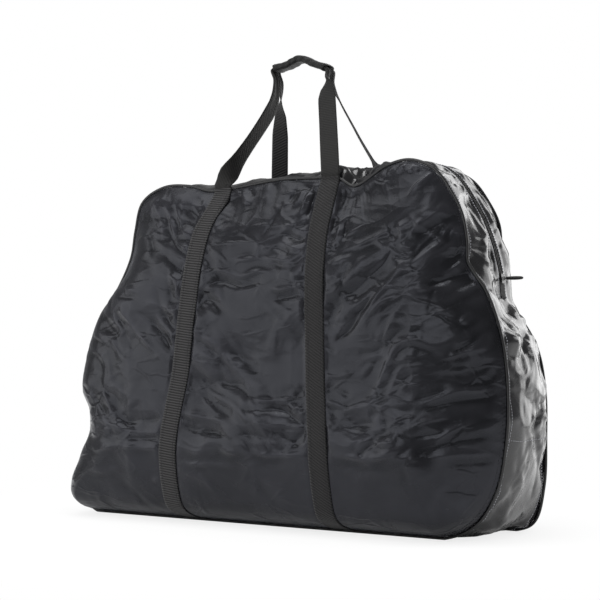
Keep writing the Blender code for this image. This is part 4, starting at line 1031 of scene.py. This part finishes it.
def buildHandle(name, node, side, leftMaterial):
    # webbing carried along the path: it turns half round on the way, and is gathered into a thick cord
    # at the grip
    path = handlePath(side)
    along = unit(np.gradient(path, axis=0))
    run = runOf(path)
    share = run / run[-1]
    table = np.array(handleForm["turn"][side])
    reach = 0.012
    angle = smoothTable(table[:, :2], share, reach) * math.pi
    fold = np.clip(smoothTable(table[:, [0, 2]], share, reach), 0, 1)
    if side > 0:
        angle = math.pi - angle
    widthWay = np.column_stack([np.cos(angle), np.sin(angle), np.zeros(len(path))])
    widthWay = unit(widthWay - along * (widthWay * along).sum(axis=1)[:, None])
    thickWay = np.cross(along, widthWay)
    width = webbingForm["width"] + (handleForm["gatheredWidth"] - webbingForm["width"]) * fold
    thick = webbingForm["thickness"] + (handleForm["gatheredThickness"] - webbingForm["thickness"]) * fold
    places = np.linspace(-1, 1, 11)
    thin = np.clip(1 - np.abs(places) ** 8, 0.25, 1)
    cup = 0.0016 * fold[:, None] * np.cos(places * math.pi * 1.5)[None]
    around = np.concatenate([places, places[::-1]])
    across = around * (width / 2)[:, None]
    lift = np.concatenate([thin * thick[:, None] / 2 + cup, -thin[::-1] * thick[:, None] / 2 + cup[:, ::-1]], axis=1)
    points = path[:, None] + widthWay[:, None] * across[..., None] + thickWay[:, None] * lift[..., None]
    uv = joined(around * webbingForm["width"] / 2, run[:, None])
    handle = newPiece(name, points, gridFaces(len(path), 22, False, True), leftMaterial, uv)
    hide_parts(node)
    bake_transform(handle)


buildHandle("frontHandleWebbing", "front_handle", -1, plainWebbing)
buildHandle("backHandleWebbing", "back_handle", 1, twillWebbing)

wrapForm = {"width": 0.046, "height": 0.0165, "wall": 0.003, "sides": 40, "rows": 64, "flare": 0.12}
wrapCloth = ribbedCloth("wrapCloth", "#0c0c0c", "#171717", 0.0022, 0.0, 0.50, 0.0002)


def buildWrap():
    # a padded sleeve: a flattened superellipse along the grip's line, wider at its mouths, turned in
    # to its lining
    full = (handlePath(-1) + handlePath(1)) / 2
    leg = 4 * handleForm["samples"]
    path = evenly(full[leg:-leg], wrapForm["rows"] + 6)[3:-3]
    along = unit(np.gradient(path, axis=0))
    across = np.array([0.0, 1.0, 0.0])
    up = np.cross(along, across)
    t = np.linspace(-1, 1, wrapForm["rows"])
    mouth = 1 + wrapForm["flare"] * np.clip((np.abs(t) - 0.62) / 0.38, 0, 1) ** 2
    turn = np.linspace(0, 2 * math.pi, wrapForm["sides"], endpoint=False)
    cy = np.sign(np.cos(turn)) * np.abs(np.cos(turn)) ** 0.62
    cz = np.sign(np.sin(turn)) * np.abs(np.sin(turn)) ** 0.75
    lap = 0.0010 * np.exp(-((turn - 4.1) / 0.35) ** 2) * (turn > 4.1) + 0.0006 * np.cos(turn * 3)
    loops = []
    for inset in (0.0, wrapForm["wall"]):
        halfWidth, halfHeight = wrapForm["width"] / 2 - inset, wrapForm["height"] / 2 - inset
        ruck = 0.0006 * np.sin(t[:, None] * 26 + turn[None] * 2) * (1 - t[:, None] ** 2)
        radial = 1 + (lap[None] + ruck) / 0.012
        loops.append(path[:, None] + across * (cy[None] * halfWidth * mouth[:, None] * radial)[..., None]
                     + up[:, None] * (cz[None] * halfHeight * mouth[:, None] * radial)[..., None])
    outer, inner = loops
    points = np.concatenate([outer, inner[::-1]])
    uv = joined(turn / (2 * math.pi) * 0.14, np.concatenate([t, t[::-1]])[:, None] * 0.086)
    faces = gridFaces(2 * wrapForm["rows"], wrapForm["sides"], True, True)
    wrap = newPiece("gripWrap", points, faces, wrapCloth, uv)
    settle(wrap, "front_handle", "wrap_webbing", "grip_wrap")
    for name, k in (("Left", 2), ("Right", wrapForm["rows"] - 3)):
        row = outer[k][np.append(np.arange(wrapForm["sides"]), 0)]
        stitchRow(f"gripWrapStitches{name}", row, row - path[k], darkThread, "front_handle", "wrap_webbing")


buildWrap()
print("handles and grip made")


# finishes of the carried-over solids

sliderEnamel = plainMaterial("sliderEnamel", "#060606", "#0c0c0d", 0.34, 90.0, 0.05, Coat_Weight=0.2)
baseBoard = plainMaterial("baseBoard", "#1e1e20", "#2a2a2c", 0.50, 60.0, 0.10)
for node, material in (("zip_slider", sliderEnamel), ("zip_pull", sliderEnamel), ("base_stiffener", baseBoard)):
    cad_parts[node].data.materials.clear()
    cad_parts[node].data.materials.append(material)


pullForm = {"start": 0.006, "end": 0.0475, "width": 0.015, "tipWidth": 0.011, "thickness": 0.0085,
            "sides": 20, "rows": 18}
pullRubber = plainMaterial("pullRubber", "#060606", "#0d0d0d", 0.55, 400.0, 0.15)


def buildPullCover():
    # a moulded cover on the pull: rounded sections on the plate's line, closed by a quarter circle at each end
    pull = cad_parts["zip_pull"]
    plate = np.array([tuple(pull.matrix_world @ v.co) for v in pull.data.vertices])
    order = plate[:, 0].argsort()
    root, tip = plate[order[:8]].mean(axis=0), plate[order[-8:]].mean(axis=0)
    along = (tip - root) / np.linalg.norm(tip - root)
    across = np.array([0.0, 1.0, 0.0])
    up = np.cross(along, across)
    t = np.linspace(0, math.pi, pullForm["rows"])
    shut = np.clip(np.sin(t), 0.02, 1) ** 0.4
    share = (1 - np.cos(t)) / 2
    middle = root + along * (pullForm["start"] + (pullForm["end"] - pullForm["start"]) * share)[:, None]
    halfWidth = (pullForm["width"] + (pullForm["tipWidth"] - pullForm["width"]) * share) / 2 * shut
    turn = np.linspace(0, 2 * math.pi, pullForm["sides"], endpoint=False)
    points = middle[:, None] + across * (halfWidth[:, None] * np.cos(turn))[..., None] \
        + up * (pullForm["thickness"] / 2 * shut[:, None] * np.sin(turn))[..., None]
    faces = gridFaces(pullForm["rows"], pullForm["sides"], False, True)
    cover = newPiece("zipPullCover", points, faces, pullRubber)
    settle(cover, "zip_pull", "slider")


buildPullCover()


# the studio

studio = {
    "cameraPlace": (2.0242, -3.125, 0.450), "cameraTarget": (-0.0048, 0.0, 0.548), "lens": 90, "sensor": 36,
    "worldLight": 0.75, "worldGloss": 0.22,
    "lamps": (  # name, place, target, width, height, radiance
        ("keySoftbox", (-2.5, -2.6, 1.35), (0.0, 0.0, 0.45), 3.4, 2.2, 1.85),
        ("frontSoftbox", (0.2, -3.4, 1.9), (0.0, 0.0, 0.5), 2.4, 1.3, 2.5),
        ("rearHighSoftbox", (0.5, 2.6, 2.25), (0.4, 0.0, 0.7), 1.9, 0.9, 1.7),
        ("rearSoftbox", (1.65, 2.55, 1.05), (0.50, 0.0, 0.50), 2.3, 1.7, 2.6),
        ("sideSoftbox", (3.0, 1.8, 1.7), (0.5, 0.0, 0.7), 1.8, 1.2, 2.4),
        ("overheadSoftbox", (0.1, -0.3, 3.2), (0.1, 0.0, 0.8), 1.4, 0.9, 5.0),
        ("topSoftbox", (-0.8, -1.2, 3.1), (0.0, 0.0, 0.7), 2.4, 1.5, 2.3),
    ),
}
scene = bpy.context.scene
camera = bpy.data.objects.new("camera", bpy.data.cameras.new("camera"))
scene.collection.objects.link(camera)
camera.location = studio["cameraPlace"]
camera.rotation_euler = (Vector(studio["cameraTarget"]) - camera.location).to_track_quat("-Z", "Y").to_euler()
camera.data.lens, camera.data.sensor_width = studio["lens"], studio["sensor"]
camera.data.dof.use_dof = False
scene.camera = camera

for name, place, target, width, height, radiance in studio["lamps"]:
    lamp = bpy.data.lights.new(name, "AREA")
    lamp.shape, lamp.size, lamp.size_y = "RECTANGLE", width, height
    lamp.energy = radiance * math.pi * width * height  # an area lamp's power over pi and its area is its radiance
    holder = bpy.data.objects.new(name, lamp)
    scene.collection.objects.link(holder)
    holder.location = place
    holder.rotation_euler = (Vector(target) - holder.location).to_track_quat("-Z", "Y").to_euler()
    holder.visible_camera = False

world = bpy.data.worlds.new("studioWorld")
scene.world = world
world.use_nodes = True
world.node_tree.nodes.clear()
add = functools.partial(addNode, world.node_tree)
rays = add("LightPath")
strength = add("MapRange", {  # what gloss mirrors is darker than what lights the cloth
    "Value": (rays, "Is Glossy Ray"), "To Min": studio["worldLight"], "To Max": studio["worldGloss"]})
soft = add("Background", {"Color": (1, 1, 1, 1), "Strength": (strength, "Result")})
white = add("Background", {"Color": (1, 1, 1, 1), "Strength": 1.0})
mix = add("MixShader", {"Fac": (rays, "Is Camera Ray"), 1: (soft, "Background"), 2: (white, "Background")})
add("OutputWorld", {"Surface": (mix, "Shader")})

floorMaterial = bpy.data.materials.new("paleFloor")
floorMaterial.use_nodes = True
floorMaterial.node_tree.nodes.clear()
add = functools.partial(addNode, floorMaterial.node_tree)
matt = add("BsdfDiffuse", {"Color": hexColour("#f4f4f4")})
glow = add("Emission", {"Color": (1, 1, 1, 1), "Strength": 1.0})
reach = add("VectorMath", {"Vector": (add("TexCoord"), "Object")}, operation="LENGTH")
fade = add("MapRange", {"Value": (reach, "Value"), **span(0.55, 1.1, 0.80, 1.0)})  # pure white away from the bag
mix = add("MixShader", {"Fac": (fade, "Result"), 1: (matt, "BSDF"), 2: (glow, "Emission")})
rays = add("LightPath")
final = add("MixShader", {"Fac": (rays, "Is Camera Ray"), 1: (matt, "BSDF"), 2: (mix, "Shader")})
add("OutputMaterial", {"Surface": (final, "Shader")})
floor = newPiece("floor", [(-9, -9, 0), (9, -9, 0), (9, 9, 0), (-9, 9, 0)], [(0, 1, 2, 3)], floorMaterial)
floor.location.z = -0.0002

scene.view_settings.view_transform = "Standard"
print("studio made")
